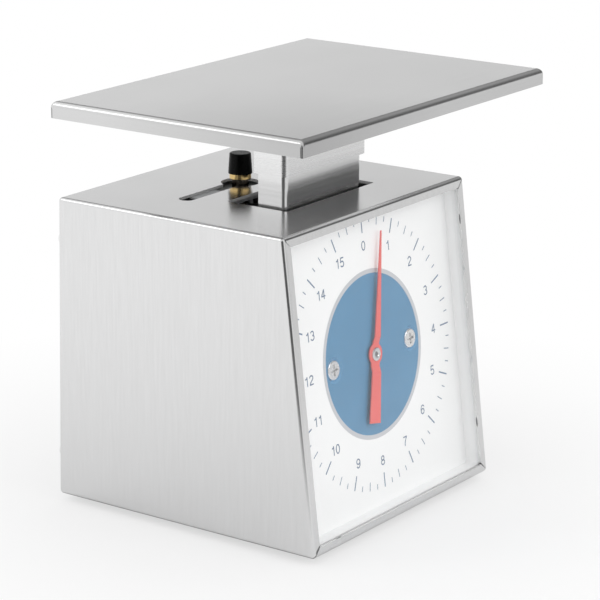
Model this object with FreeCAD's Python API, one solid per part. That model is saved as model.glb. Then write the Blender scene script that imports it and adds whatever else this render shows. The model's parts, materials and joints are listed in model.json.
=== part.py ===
import FreeCAD, Part
import math
import os

# Mechanical portion scale, in millimetres. Front is -Y, up is +Z.
# The origin is on the floor, under the middle of the overall width and depth.

Vec = FreeCAD.Vector
UP = Vec(0, 0, 1)
ACROSS = Vec(1, 0, 0)
BACKWARD = Vec(0, 1, 0)

# Whole object
overall_depth = 139.7           # platform's front edge to the foot of the casing's back
overrun = 2.0                   # how far a cutting shape passes what it cuts

# Casing of bent steel sheet
casing_width = 127.8
casing_height = 127.0
casing_base_depth = 130.2
face_setback = 15.2             # the front leans back by this much over its height
back_rake = 3.0                 # the back leans forward by this much over its height
sheet = 1.2
bend_radius = 1.6
window_side_border = 4.4
window_top_border = 4.2
window_foot_border = 3.9
back_border = 8.0
base_mitre_height = 10.0
base_mitre_gap = 0.55
corner_slit = 0.35

# Back cover and its screws
back_cover_play = 0.3
back_screw_edge = 4.8
back_screw_from_end = 18.0
back_screw_head_radius = 2.8
back_screw_head_height = 1.8
back_screw_radius = 1.45
back_screw_length = 6.0
screw_play = 0.05
hole_play = 0.15

# Feet, their screws and the angles that tie the casing to its base
foot_height = 3.0
foot_radius = 6.0
foot_flare = 0.7
foot_recess_radius = 3.4
foot_recess_depth = 1.9
foot_screw_head_radius = 2.9
foot_screw_head_height = 1.3
foot_screw_radius = 1.5
angle_sheet = 1.5
angle_leg = 22.0
angle_height = 12.0
angle_width = 12.5
angle_bend = 2.0
angle_clearance = 0.8           # between the front angles and the dial tray
nut_height = 2.4
nut_across_flats = 5.5

# Lens and dial tray
lens_thickness = 1.5
lens_play = 0.3
dial_depth = 9.4                # front of the casing's face to the dial, square to it
dial_sheet = 1.2
tray_wall = 1.0
tray_foot_gap = 3.0
tray_top_gap = 1.8
tray_corner_radius = 3.0
dial_centre_height = 66.7       # up the face from its lower edge
rail_sheet = 1.2
rail_width = 10.0
rail_depth = 14.0
rail_above_angle = 1.5          # between the front angles and the rails, as on the rails' other end
rail_screw_from_end = 12.0
rail_screw_head_radius = 2.4
rail_screw_head_height = 1.5
rail_screw_radius = 1.2
rail_screw_bite = 0.8

# Gear bridge behind the dial, its screws and bushings
bridge_screw_offset = 27.4
dial_screw_head_radius = 4.0
dial_screw_head_height = 1.2
dial_screw_radius = 2.0
dial_screw_length = 5.2
dial_dimple_depth = 1.2         # the dial is pressed in here, so that the heads lie flush with it
dial_dimple_radius = 5.4
dial_dimple_slope = 0.8
gear_bridge_sheet = 1.5
gear_bridge_half_span = 22.0
gear_bridge_half_height = 5.5
gear_bridge_depth = 16.7
gear_bridge_foot = 11.0
bush_radius = 3.0
bush_flange_radius = 4.4
bush_flange = 0.9
bush_proud = 0.3
bush_play = 0.02

# Pointer, its shaft and the pinion
shaft_radius = 1.0
shaft_play = 0.03
shaft_behind_bridge = 1.6
collar_radius = 2.1
collar_length = 0.9
collar_gap = 0.2
pinion_teeth = 10
pinion_module = 0.4
pinion_length = 6.4
pinion_behind_dial = 4.6
pressure_angle_deg = 20.0
tooth_backlash = 0.05
pinion_addendum_share = 0.9
pinion_dedendum_share = 1.2
rack_addendum_share = 0.52
rack_dedendum_share = 1.3
pointer_thickness = 0.5
pointer_above_dial = 0.9        # the eye; both arms are pressed up from it
pointer_lift = 0.8
pointer_flat_radius = 4.8
pointer_slope_end = 7.2
pointer_reach = 50.0
pointer_tip_width = 0.5
pointer_root_width = 4.4
pointer_hub_radius = 4.5
pointer_tail_reach = 28.0
pointer_tail_root_width = 5.4
pointer_tail_width = 7.4
pointer_rest_deg = 12.0
dial_full_turn_deg = 360.0
hub_cap_radius = 2.8
hub_cap_height = 0.5
hub_neck_radius = 1.6
hub_body_radius = 2.1
hub_body_gap = 0.3
hub_fillet = 0.25

# Platform
platform_width = 171.45
platform_depth = 120.65
platform_flange = 6.6
platform_top = 175.0
platform_bend = 2.4
platform_corner = 1.0
platform_slit = 0.25

# Post under the platform and the bracket that drops over it
post_half_width = 26.85
post_depth = 13.0
post_setback = 25.95            # from the casing's top front edge
post_bend = 2.4
bracket_sheet = 1.5
bracket_play = 0.10
bracket_depth = 15.5
bracket_bend = 2.9
bracket_flange = 9.0
bracket_grip = 4.6

# Openings in the casing's top
opening_left_gap = 2.3
opening_right_gap = 5.6
opening_front_gap = 2.5
opening_back_gap = 13.9
opening_corner = 0.8
keyhole_radius = 8.0
keyslot_width = 6.8
keyslot_reach = 39.0

# Zero screw and knob
knob_x = 0.6
knob_behind_post = 29.5
knob_clear = 4.0                # cover to the underside of the cap
knob_radius = 5.0
knob_top_radius = 4.45
knob_height = 8.5
knob_edge = 0.6
knob_bore_depth = 5.2
zero_collar_radius = 4.5
zero_collar_height = 2.5
zero_neck_radius = 3.5
zero_screw_radius = 2.5
zero_clip_radius = 4.2
zero_clip_thickness = 0.8
zero_thread_pitch = 0.7

# Fixed frame of the movement
frame_sheet = 2.0
frame_back_gap = 14.85          # from the casing's top back edge
frame_cheek_depth = 16.0
frame_top_gap = 2.0             # under the casing's top sheet, above the spring bridge
frame_foot_width = 13.5         # turned inward, under the lower link
frame_screw_head_radius = 2.6
frame_screw_head_height = 1.7
frame_screw_radius = 1.4
frame_screw_spacing = 7.0
bridge_front_overhang = 9.0
bridge_flange = 14.0
bridge_screw_spread = 12.0

# Carriage and the two check links
link_play = 0.3
link_sheet = 1.5
link_half_height = 4.0
link_pin_from_web = 8.1
link_pin_radius = 2.0
link_pin_play = 0.06
link_slot_slack = 0.3
link_bar_from_pin = 4.0
link_bar_thickness = 1.5
pin_head_radius = 3.2
pin_head = 0.9
lower_pin_above_arm = 6.0
upper_pin_below_head = 12.0
carriage_below_arm = 1.0
carriage_pin_inset = 0.25
rivet_radius = 1.4
rivet_head_radius = 2.6
rivet_head = 0.9
post_rivet_x = 15.0
post_rivet_from_foot = 5.0
post_rivet_rise = 12.0

# Rack
rack_thickness = 3.0
rack_back_width = 3.4
rack_below_axis = 5.0
rack_above_axis = 24.0
rack_below_post = 6.721         # rack's head to the foot of the post above it
rack_arm_height = 5.0
rack_arm_width = 9.0
rack_screw_radius = 1.4
rack_screw_head_radius = 2.6
rack_screw_head_height = 1.5
rack_screw_bite = 6.0

# Spring arm, main spring and its hanger
arm_thickness = 3.0
arm_half_width = 7.0
arm_height = 46.0
arm_behind_spring = 6.5
arm_flange = 10.0
arm_rivet_spread = 4.0
spring_wire = 1.2
spring_radius = 8.0
spring_pitch = 2.6              # largest rise of a turn; the turns fill the length
lug_half_width = 4.0
lug_half_thickness = 1.0
lug_eye_radius = 1.2
lug_eye_height = 3.6
lug_strip = 2.2
lug_seat = 0.1
hanger_height = 12.0
hanger_drop = 4.8               # bridge's underside to the hanger's top
hanger_half_width = 6.0
hanger_front = 6.0
hanger_behind_pin = 2.9
hanger_bore_end = 2.0
zero_screw_end = 4.0
guide_pin_radius = 1.5
guide_pin_spacing = 10.0
guide_pin_below = 4.0
guide_play = 0.08

# Air damper
damper_radius = 9.0
damper_wall = 1.0
damper_top = 27.0
damper_cap = 1.4
damper_behind_web = 6.0
rod_radius = 1.5
rod_play = 0.08
rod_above_arm = 3.4
piston_height = 4.0
piston_play = 0.08
piston_top = 24.0

# Shares
recess_length_share = 1.15
bracket_height_share = 0.5913   # of the space between the cover and the platform, on top of its grip
recess_width_share = 0.24
recess_depth_share = 0.55
head_dome_share = 0.45

# Places that follow from the sizes above
half_width = casing_width / 2
back_y = overall_depth / 2
back_top_y = back_y - back_rake
front_y = back_y - casing_base_depth
front_top_y = front_y + face_setback
floor_z = foot_height
cover_z = floor_z + casing_height
base_top = floor_z + sheet
face_angle = math.atan2(face_setback, casing_height)
face_length = math.hypot(face_setback, casing_height)
back_length = math.hypot(back_rake, casing_height)
lens_back = -sheet - lens_thickness
dial_front = -dial_depth
dial_back = dial_front - dial_sheet
screw_seat = dial_front - dial_dimple_depth
bridge_seat = dial_back - dial_dimple_depth
tray_half_width = half_width - bend_radius - lens_play
tray_lean = (sheet + angle_height) * math.tan(face_angle)
tray_reach = (dial_depth + dial_sheet) / math.cos(face_angle) + tray_lean
foot_inset = tray_reach + angle_clearance + angle_width / 2
rail_back = dial_back - rail_depth
rail_end_height = sheet + angle_height + rail_above_angle
rail_end_gap = (rail_end_height - rail_back * math.sin(face_angle)) / math.cos(face_angle)
pitch_radius = pinion_module * pinion_teeth / 2
tooth_pitch = math.pi * pinion_module
travel_down = pitch_radius * math.radians(dial_full_turn_deg - pointer_rest_deg) / math.cos(face_angle)
travel_up = pitch_radius * math.radians(pointer_rest_deg) / math.cos(face_angle)
mid_travel = (travel_down - travel_up) / 2
post_inner = post_half_width - sheet
post_front = front_top_y + post_setback
carriage_front = post_front + sheet
carriage_back = carriage_front + sheet
rack_head_slope = (carriage_front - front_y) * math.tan(face_angle)
rack_head = floor_z + (dial_centre_height + rack_above_axis) / math.cos(face_angle) - rack_head_slope
post_foot = rack_head + rack_below_post
flange_end = post_front + post_depth
carriage_inner = post_inner - sheet
carriage_foot = arm_height - arm_thickness - carriage_below_arm
carriage_head = post_foot + 2 * post_rivet_from_foot + post_rivet_rise
carriage_pin_y = (carriage_front + flange_end) / 2
knob_y = flange_end + knob_behind_post
damper_y = carriage_back + damper_behind_web
frame_web_back = back_top_y - frame_back_gap
frame_pin_y = frame_web_back - frame_sheet - link_pin_from_web
link_span = frame_pin_y - carriage_pin_y
lower_pin_height = arm_height + lower_pin_above_arm
upper_pin_height = carriage_head - upper_pin_below_head - mid_travel
link_outer = carriage_inner - link_play
cheek_inner = link_outer + link_play
cheek_outer = cheek_inner + frame_sheet
bridge_top = cover_z - sheet - frame_top_gap
bridge_foot = bridge_top - frame_sheet
hanger_top = bridge_foot - hanger_drop
hanger_foot = hanger_top - hanger_height
platform_under = platform_top - sheet
bracket_foot = platform_under - bracket_grip - bracket_height_share * (platform_under - cover_z)
knob_foot = cover_z + knob_clear


def plane_placement(origin, up, normal):
    """A placement whose local y runs up the plane and whose local z leaves it."""
    across = up.cross(normal)
    return FreeCAD.Placement(FreeCAD.Matrix(
        across.x, up.x, normal.x, origin.x,
        across.y, up.y, normal.y, origin.y,
        across.z, up.z, normal.z, origin.z,
        0, 0, 0, 1))


face_up = Vec(0, math.sin(face_angle), math.cos(face_angle))
face_out = Vec(0, -math.cos(face_angle), math.sin(face_angle))
face_plane = plane_placement(Vec(0, front_y, floor_z), face_up, face_out)
back_angle = math.atan2(back_rake, casing_height)
back_up = Vec(0, -math.sin(back_angle), math.cos(back_angle))
back_out = Vec(0, math.cos(back_angle), math.sin(back_angle))
back_plane = plane_placement(Vec(0, back_y, floor_z), back_up, back_out)


def moved(shape, placement):
    shape = shape.copy()
    shape.Placement = placement.multiply(shape.Placement)
    return shape


def box(x_span, y_span, z_span):
    low = Vec(x_span[0], y_span[0], z_span[0])
    return Part.makeBox(x_span[1] - x_span[0], y_span[1] - y_span[0], z_span[1] - z_span[0], low)


def rod(radius, start, end):
    line = end - start
    return Part.makeCylinder(radius, line.Length, start, line)


def prism(points, along):
    return Part.Face(Part.makePolygon(points + points[:1])).extrude(along)


def fuse(shapes):
    return shapes[0].fuse(shapes[1:]).removeSplitter()


def group(shapes):
    return Part.makeCompound(shapes)


def turned(profile, axis_x=0, axis_y=0):
    """A solid of revolution about a vertical axis, from (radius, height) points."""
    points = [Vec(radius, 0, height) for radius, height in profile]
    face = Part.Face(Part.makePolygon(points + points[:1]))
    solid = face.revolve(Vec(0, 0, 0), UP, 360)
    solid.translate(Vec(axis_x, axis_y, 0))
    return solid


def edges_where(shape, test):
    return [edge for edge in shape.Edges if test(edge)]


def is_along(edge, direction):
    ends = edge.Vertexes
    if len(ends) < 2:
        return False
    line = ends[1].Point - ends[0].Point
    return line.Length > 0 and abs(abs(line.normalize() * direction) - 1) < 1e-6


def aimed(shape, place, direction):
    return moved(shape, FreeCAD.Placement(place, FreeCAD.Rotation(UP, direction)))


def mirrored_pair(shape):
    return [shape, shape.mirror(Vec(0, 0, 0), ACROSS)]


def pan_screw(head_radius, head_height, shank_radius, shank_length):
    """Head above z = 0 with a cross recess, shank below."""
    head = Part.makeCylinder(head_radius, head_height)
    rim = edges_where(head, lambda edge: edge.BoundBox.ZMin > head_height / 2)
    head = head.makeFillet(head_dome_share * head_height, rim)
    half_long = recess_length_share * head_radius / 2
    half_wide = recess_width_share * head_radius / 2
    deep = (head_height * (1 - recess_depth_share), head_height + overrun)
    cross = [box((-half_long, half_long), (-half_wide, half_wide), deep),
             box((-half_wide, half_wide), (-half_long, half_long), deep)]
    shank = rod(shank_radius, Vec(0, 0, 0), Vec(0, 0, -shank_length))
    return fuse([head.cut(cross), shank])


def rivet(reach):
    """A round-headed rivet from z = 0 down to -reach, headed at both ends."""
    head = Part.makeCylinder(rivet_head_radius, rivet_head)
    rim = edges_where(head, lambda edge: edge.BoundBox.ZMin > rivet_head / 2)
    head = head.makeFillet(head_dome_share * rivet_head, rim)
    far = aimed(head, Vec(0, 0, -reach), -UP)
    return fuse([head, rod(rivet_radius, Vec(0, 0, 0), Vec(0, 0, -reach)), far])


def hex_nut(bore_radius):
    corner = nut_across_flats / math.sqrt(3)
    points = [Vec(corner * math.cos(math.radians(60 * k)), corner * math.sin(math.radians(60 * k)), 0)
              for k in range(6)]
    return prism(points, UP * nut_height).cut(Part.makeCylinder(bore_radius, nut_height))


def inset_outline(points, inset):
    """The outline of (y, z) points with every side moved inward."""
    count = len(points)
    lines = []
    for k in range(count):
        (y0, z0), (y1, z1) = points[k], points[(k + 1) % count]
        length = math.hypot(y1 - y0, z1 - z0)
        along = ((y1 - y0) / length, (z1 - z0) / length)
        inward = (along[1], -along[0])
        lines.append(((y0 + inset * inward[0], z0 + inset * inward[1]), along))
    corners = []
    for k in range(count):
        (point_a, along_a), (point_b, along_b) = lines[k - 1], lines[k]
        cross = along_a[0] * along_b[1] - along_a[1] * along_b[0]
        reach = ((point_b[0] - point_a[0]) * along_b[1] - (point_b[1] - point_a[1]) * along_b[0]) / cross
        corners.append((point_a[0] + reach * along_a[0], point_a[1] + reach * along_a[1]))
    return corners


casing_outline = [(front_y, floor_z), (front_top_y, cover_z), (back_top_y, cover_z), (back_y, floor_z)]


def casing_block(inset):
    outline = inset_outline(casing_outline, inset)
    reach = half_width - inset
    block = prism([Vec(-reach, y, z) for y, z in outline], ACROSS * (2 * reach))
    return block.makeFillet(bend_radius - inset, block.Edges)


def foot_places():
    ys = (front_y + foot_inset, back_y - foot_inset)
    return [Vec(side * (half_width - foot_inset), y, 0) for side in (-1, 1) for y in ys]


def back_screw_places():
    reach = half_width - back_screw_edge
    rises = (back_screw_from_end, back_length - back_screw_from_end)
    return [Vec(side * reach, rise, 0) for side in (-1, 1) for rise in rises]


def frame_screw_places():
    x = cheek_inner - (frame_foot_width - frame_sheet) / 2
    middle = frame_web_back - (frame_cheek_depth + frame_sheet) / 2
    ys = (middle - frame_screw_spacing / 2, middle + frame_screw_spacing / 2)
    return [Vec(side * x, y, base_top + frame_sheet) for side in (-1, 1) for y in ys]


def rail_screw_places():
    x = tray_half_width - rail_width / 2
    rises = (rail_end_gap + rail_screw_from_end, face_length - rail_end_gap - rail_screw_from_end)
    return [Vec(side * x, rise, 0) for side in (-1, 1) for rise in rises]


def base_wedge(gap):
    """Everything below two mitre planes that rise inward from the casing's lower corners."""
    low = half_width + overrun - gap
    high = half_width - base_mitre_height - gap
    points = [Vec(-low, front_y - overrun, floor_z - overrun),
              Vec(low, front_y - overrun, floor_z - overrun),
              Vec(high, front_y - overrun, floor_z + base_mitre_height),
              Vec(-high, front_y - overrun, floor_z + base_mitre_height)]
    return prism(points, BACKWARD * (casing_base_depth + 2 * overrun))


def casing_shell():
    """The folded casing with its two windows, before it is parted from its base."""
    shell = casing_block(0).cut(casing_block(sheet))
    reach = half_width - window_side_border
    front_window = box((-reach, reach),
                       (window_foot_border, face_length - window_top_border),
                       (-2 * sheet, overrun))
    reach = half_width - back_border
    back_window = box((-reach, reach), (back_border, back_length - back_border), (-2 * sheet, overrun))
    shell = shell.cut([moved(front_window, face_plane), moved(back_window, back_plane)])
    slits = []
    for length, border, plane in ((face_length, window_top_border, face_plane),
                                  (back_length, back_border, back_plane)):
        for side in (-1, 1):
            slit = box((bend_radius, math.sqrt(2) * border + overrun),
                       (-corner_slit / 2, corner_slit / 2),
                       (-2 * sheet, overrun))
            slit.rotate(Vec(0, 0, 0), UP, -90 - 45 * side)
            slit.translate(Vec(side * half_width, length, 0))
            slits.append(moved(slit, plane))
    shell = shell.cut(slits)
    holes = [rod(back_screw_radius + hole_play, place + UP * overrun, place - UP * (2 * sheet))
             for place in back_screw_places()]
    return shell.cut([moved(hole, back_plane) for hole in holes])


def top_openings():
    depth = (cover_z - 2 * sheet, cover_z + overrun)
    opening = box((-post_half_width - opening_left_gap, post_half_width + opening_right_gap),
                  (post_front - opening_front_gap, flange_end + opening_back_gap), depth)
    opening = opening.makeFillet(opening_corner, edges_where(opening, lambda edge: is_along(edge, UP)))
    foot, tip = Vec(knob_x, knob_y, depth[0]), Vec(knob_x, knob_y, depth[1])
    slot_end = knob_x - keyslot_reach + keyslot_width / 2
    shift = Vec(slot_end - knob_x, 0, 0)
    keyhole = [rod(keyhole_radius, foot, tip),
               rod(keyslot_width / 2, foot + shift, tip + shift),
               box((slot_end, knob_x), (knob_y - keyslot_width / 2, knob_y + keyslot_width / 2), depth)]
    return [opening] + keyhole


def housing_wrap():
    return casing_shell().cut([base_wedge(-base_mitre_gap / 2)] + top_openings())


def base_plate():
    base = casing_shell().common(base_wedge(base_mitre_gap / 2))
    holes = [rod(foot_screw_radius + hole_play, place + UP * (floor_z - overrun),
                 place + UP * (base_top + overrun)) for place in foot_places()]
    for place in frame_screw_places():
        holes.append(rod(frame_screw_radius + screw_play, Vec(place.x, place.y, floor_z - overrun), place))
    return base.cut(holes)


def back_cover():
    reach = half_width - bend_radius - back_cover_play
    rise = bend_radius + back_cover_play
    panel = box((-reach, reach), (rise, back_length - rise), (-2 * sheet, -sheet))
    holes = [rod(back_screw_radius + screw_play, place, place - UP * (2 * sheet + overrun))
             for place in back_screw_places()]
    return moved(panel.cut(holes), back_plane)


def back_screws():
    screw = pan_screw(back_screw_head_radius, back_screw_head_height, back_screw_radius, back_screw_length)
    return group([moved(aimed(screw, place, UP), back_plane) for place in back_screw_places()])


def corner_angles():
    """Angle brackets spot-welded to the side walls and standing on the base plate."""
    wall = half_width - sheet
    angles = []
    for place in foot_places():
        side = math.copysign(1, place.x)
        y_span = (place.y - angle_width / 2, place.y + angle_width / 2)
        block = box((wall - angle_leg, wall), y_span, (base_top, base_top + angle_height))
        block = block.makeFillet(angle_bend, edges_where(
            block, lambda edge: edge.BoundBox.XMin > wall - angle_sheet
            and edge.BoundBox.ZMax < base_top + angle_sheet))
        hollow = box((wall - angle_leg - overrun, wall - angle_sheet), y_span,
                     (base_top + angle_sheet, base_top + angle_height + overrun))
        hollow = hollow.makeFillet(angle_bend - angle_sheet, edges_where(
            hollow, lambda edge: edge.BoundBox.XMin > wall - 2 * angle_sheet
            and edge.BoundBox.ZMax < base_top + 2 * angle_sheet))
        hole = rod(foot_screw_radius + hole_play, Vec(side * place.x, place.y, base_top - overrun),
                   Vec(side * place.x, place.y, base_top + angle_height))
        angle = block.cut([hollow, hole])
        angles.append(angle if side > 0 else angle.mirror(Vec(0, 0, 0), ACROSS))
    return group(angles)


def feet():
    foot = turned([(0, 0), (foot_radius, 0), (foot_radius - foot_flare, floor_z), (0, floor_z)])
    foot = foot.cut([rod(foot_recess_radius, Vec(0, 0, -overrun), Vec(0, 0, foot_recess_depth)),
                     rod(foot_screw_radius + hole_play, Vec(0, 0, 0), Vec(0, 0, floor_z + overrun))])
    return group([aimed(foot, place, UP) for place in foot_places()])


def foot_screws():
    length = base_top + angle_sheet + nut_height - foot_recess_depth
    screw = pan_screw(foot_screw_head_radius, foot_screw_head_height, foot_screw_radius, length)
    return group([aimed(screw, place + UP * foot_recess_depth, -UP) for place in foot_places()])


def foot_nuts():
    nut = hex_nut(foot_screw_radius + screw_play)
    return group([aimed(nut, place + UP * (base_top + angle_sheet), UP) for place in foot_places()])


def lens():
    rise = bend_radius + lens_play
    pane = box((-tray_half_width, tray_half_width), (rise, face_length - rise), (lens_back, -sheet))
    return moved(pane, face_plane)


def dial_plate():
    """A white tray: the dial at its bottom, four low walls that hold the lens to the window."""
    rise = (tray_foot_gap, face_length - tray_top_gap)
    reach = tray_half_width
    block = box((-reach, reach), rise, (dial_back, lens_back))
    block = block.makeFillet(tray_corner_radius, edges_where(block, lambda edge: is_along(edge, UP)))
    reach = reach - tray_wall
    hollow = box((-reach, reach), (rise[0] + tray_wall, rise[1] - tray_wall), (dial_front, overrun))
    hollow = hollow.makeFillet(tray_corner_radius - tray_wall,
                               edges_where(hollow, lambda edge: is_along(edge, UP)))
    centre = Vec(0, dial_centre_height, 0)
    holes = [rod(bush_radius + bush_play, centre + UP * (dial_back - overrun), centre)]
    bosses = []
    floor_radius = dial_dimple_radius - dial_dimple_slope
    for side in (-1, 1):
        x = side * bridge_screw_offset
        bosses.append(turned([(0, bridge_seat), (floor_radius + tray_wall, bridge_seat),
                              (dial_dimple_radius + tray_wall, dial_back),
                              (dial_dimple_radius + tray_wall, dial_back + dial_sheet / 2),
                              (0, dial_back + dial_sheet / 2)], x, dial_centre_height))
        holes.append(turned([(0, screw_seat), (floor_radius, screw_seat), (dial_dimple_radius, dial_front),
                             (dial_dimple_radius, dial_front + overrun), (0, dial_front + overrun)],
                            x, dial_centre_height))
        place = centre + ACROSS * x
        holes.append(rod(dial_screw_radius + hole_play, place + UP * (bridge_seat - overrun),
                         place + UP * dial_front))
    for place in rail_screw_places():
        holes.append(rod(rail_screw_radius + screw_play, place + UP * (dial_back - overrun),
                         place + UP * (dial_back + rail_screw_bite + screw_play)))
    return moved(fuse([block.cut(hollow)] + bosses).cut(holes), face_plane)


def dial_rails():
    """Two angle strips on the side walls that carry the tray."""
    wall = half_width - sheet
    rise = (rail_end_gap, face_length - rail_end_gap)
    side_leg = box((wall - rail_sheet, wall), rise, (rail_back, dial_back))
    front_leg = box((wall - rail_width, wall), rise, (dial_back - rail_sheet, dial_back))
    rail = fuse([side_leg, front_leg])
    holes = [rod(rail_screw_radius + hole_play, place + UP * rail_back, place)
             for place in rail_screw_places()]
    return group([moved(half.cut(holes), face_plane) for half in mirrored_pair(rail)])


def dial_rail_screws():
    screw = pan_screw(rail_screw_head_radius, rail_screw_head_height, rail_screw_radius,
                      rail_sheet + rail_screw_bite)
    head = UP * (dial_back - rail_sheet)
    return group([moved(aimed(screw, place + head, -UP), face_plane) for place in rail_screw_places()])


def dial_screws():
    screw = pan_screw(dial_screw_head_radius, dial_screw_head_height, dial_screw_radius, dial_screw_length)
    places = [Vec(side * bridge_screw_offset, dial_centre_height, screw_seat) for side in (-1, 1)]
    return group([moved(aimed(screw, place, UP), face_plane) for place in places])


def gear_bridge():
    rise = (dial_centre_height - gear_bridge_half_height, dial_centre_height + gear_bridge_half_height)
    reach = gear_bridge_half_span
    rear = dial_back - gear_bridge_depth
    web = box((-reach, reach), rise, (rear, rear + gear_bridge_sheet))
    leg = box((reach - gear_bridge_sheet, reach), rise, (rear, bridge_seat))
    foot = box((reach - gear_bridge_sheet, reach + gear_bridge_foot), rise,
               (bridge_seat - gear_bridge_sheet, bridge_seat))
    bridge = fuse([web] + mirrored_pair(leg) + mirrored_pair(foot))
    centre = Vec(0, dial_centre_height, 0)
    holes = [rod(bush_radius + bush_play, centre + UP * (rear - overrun), centre + UP * (rear + 2 * overrun))]
    for side in (-1, 1):
        place = centre + ACROSS * (side * bridge_screw_offset)
        holes.append(rod(dial_screw_radius + screw_play, place + UP * (bridge_seat - 2 * gear_bridge_sheet),
                         place + UP * bridge_seat))
    return moved(bridge.cut(holes), face_plane)


def bushing(flange_z, body_z):
    """A flanged bush on the pointer's axis: flange from flange_z[0] to [1], body over body_z."""
    centre = Vec(0, dial_centre_height, 0)
    body = rod(bush_radius, centre + UP * body_z[0], centre + UP * body_z[1])
    flange = rod(bush_flange_radius, centre + UP * flange_z[0], centre + UP * flange_z[1])
    low = min(flange_z[0], body_z[0]) - overrun
    high = max(flange_z[1], body_z[1]) + overrun
    bore = rod(shaft_radius + shaft_play, centre + UP * low, centre + UP * high)
    return moved(fuse([body, flange]).cut(bore), face_plane)


def front_bushing():
    return bushing((dial_back - bush_flange, dial_back), (dial_back - bush_flange, dial_front + bush_proud))


def rear_bushing():
    rear = dial_back - gear_bridge_depth
    inner = rear + gear_bridge_sheet
    return bushing((inner, inner + bush_flange), (rear, inner + bush_flange))


def on_shaft(shape):
    """Drawn about the z axis, placed on the pointer's axis with z = 0 in the face's plane."""
    return moved(moved(shape, FreeCAD.Placement(Vec(0, dial_centre_height, 0), FreeCAD.Rotation())),
                 face_plane)


pointer_back = dial_front + pointer_above_dial
pointer_front = pointer_back + pointer_thickness
shaft_rear = dial_back - gear_bridge_depth - shaft_behind_bridge
shaft_front = pointer_front + hub_cap_height / 2
pinion_front = dial_back - pinion_behind_dial
pinion_rear = pinion_front - pinion_length


def pointer_shaft():
    return on_shaft(rod(shaft_radius, Vec(0, 0, shaft_rear), Vec(0, 0, shaft_front)))


def shaft_collar():
    start = dial_back - gear_bridge_depth - collar_gap
    ring = rod(collar_radius, Vec(0, 0, start - collar_length), Vec(0, 0, start))
    bore = rod(shaft_radius + bush_play, Vec(0, 0, start - 2 * collar_length), Vec(0, 0, start + overrun))
    return on_shaft(ring.cut(bore))


def pinion():
    """Involute teeth, one of them pointing along +X where the rack stands."""
    pressure = math.radians(pressure_angle_deg)
    base = pitch_radius * math.cos(pressure)
    tip = pitch_radius + pinion_addendum_share * pinion_module
    root = pitch_radius - pinion_dedendum_share * pinion_module
    half_tooth = (tooth_pitch / 2 - tooth_backlash) / pitch_radius / 2
    at_pitch = math.tan(pressure) - pressure
    steps = 5
    flank = [(root, half_tooth + at_pitch)]
    for k in range(steps + 1):
        radius = base + (tip - base) * k / steps
        angle = math.acos(base / radius)
        flank.append((radius, half_tooth + at_pitch - (math.tan(angle) - angle)))
    points = []
    for tooth in range(pinion_teeth):
        middle = 2 * math.pi * tooth / pinion_teeth
        side = [(radius, middle - half) for radius, half in flank]
        side += [(radius, middle + half) for radius, half in reversed(flank)]
        points += [Vec(radius * math.cos(angle), radius * math.sin(angle), pinion_rear)
                   for radius, angle in side]
    wheel = prism(points, UP * pinion_length)
    bore = rod(shaft_radius + bush_play, Vec(0, 0, pinion_rear - overrun), Vec(0, 0, pinion_front + overrun))
    return on_shaft(wheel.cut(bore))


def pointer_needle():
    """A flat stamping whose eye is pressed back, so that both arms pass over the dial's screws."""
    tip, root = pointer_tip_width / 2, pointer_root_width / 2
    tail_root, tail = pointer_tail_root_width / 2, pointer_tail_width / 2
    start = Vec(0, 0, pointer_back)
    height = pointer_lift + pointer_thickness
    arm = prism([start + Vec(x, y, 0) for x, y in
                 ((-root, 0), (root, 0), (tip, pointer_reach), (-tip, pointer_reach))], UP * height)
    counterweight = prism([start + Vec(x, y, 0) for x, y in
                           ((-tail, -pointer_tail_reach), (tail, -pointer_tail_reach), (tail_root, 0),
                            (-tail_root, 0))],
                          UP * height)
    eye = rod(pointer_hub_radius, start, start + UP * height)
    far = pointer_reach + overrun
    side = [(-far, pointer_lift), (-pointer_slope_end, pointer_lift), (-pointer_flat_radius, 0),
            (pointer_flat_radius, 0), (pointer_slope_end, pointer_lift), (far, pointer_lift)]
    side += [(y, z + pointer_thickness) for y, z in reversed(side)]
    width = pointer_tail_width + overrun
    sheet_strip = prism([start + Vec(-width, y, z) for y, z in side], ACROSS * (2 * width))
    bore = rod(hub_neck_radius + bush_play, start - UP * overrun, start + UP * overrun)
    needle = fuse([arm, counterweight, eye]).common(sheet_strip).cut(bore)
    needle.rotate(Vec(0, 0, 0), UP, -pointer_rest_deg)
    return on_shaft(needle)


def pointer_hub():
    """A turned hub that clamps the needle and caps the shaft."""
    foot = dial_front + bush_proud + hub_body_gap
    hub = turned([(0, foot), (hub_body_radius, foot), (hub_body_radius, pointer_back),
                  (hub_neck_radius, pointer_back), (hub_neck_radius, pointer_front),
                  (hub_cap_radius, pointer_front), (hub_cap_radius, pointer_front + hub_cap_height),
                  (0, pointer_front + hub_cap_height)])
    rim = edges_where(hub, lambda edge: edge.BoundBox.ZMin > pointer_front + hub_cap_height / 2
                      and edge.BoundBox.XLength > hub_cap_radius)
    hub = hub.makeFillet(hub_fillet, rim)
    bore = rod(shaft_radius + bush_play, Vec(0, 0, foot - overrun), Vec(0, 0, shaft_front + bush_play))
    return on_shaft(hub.cut(bore))


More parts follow.
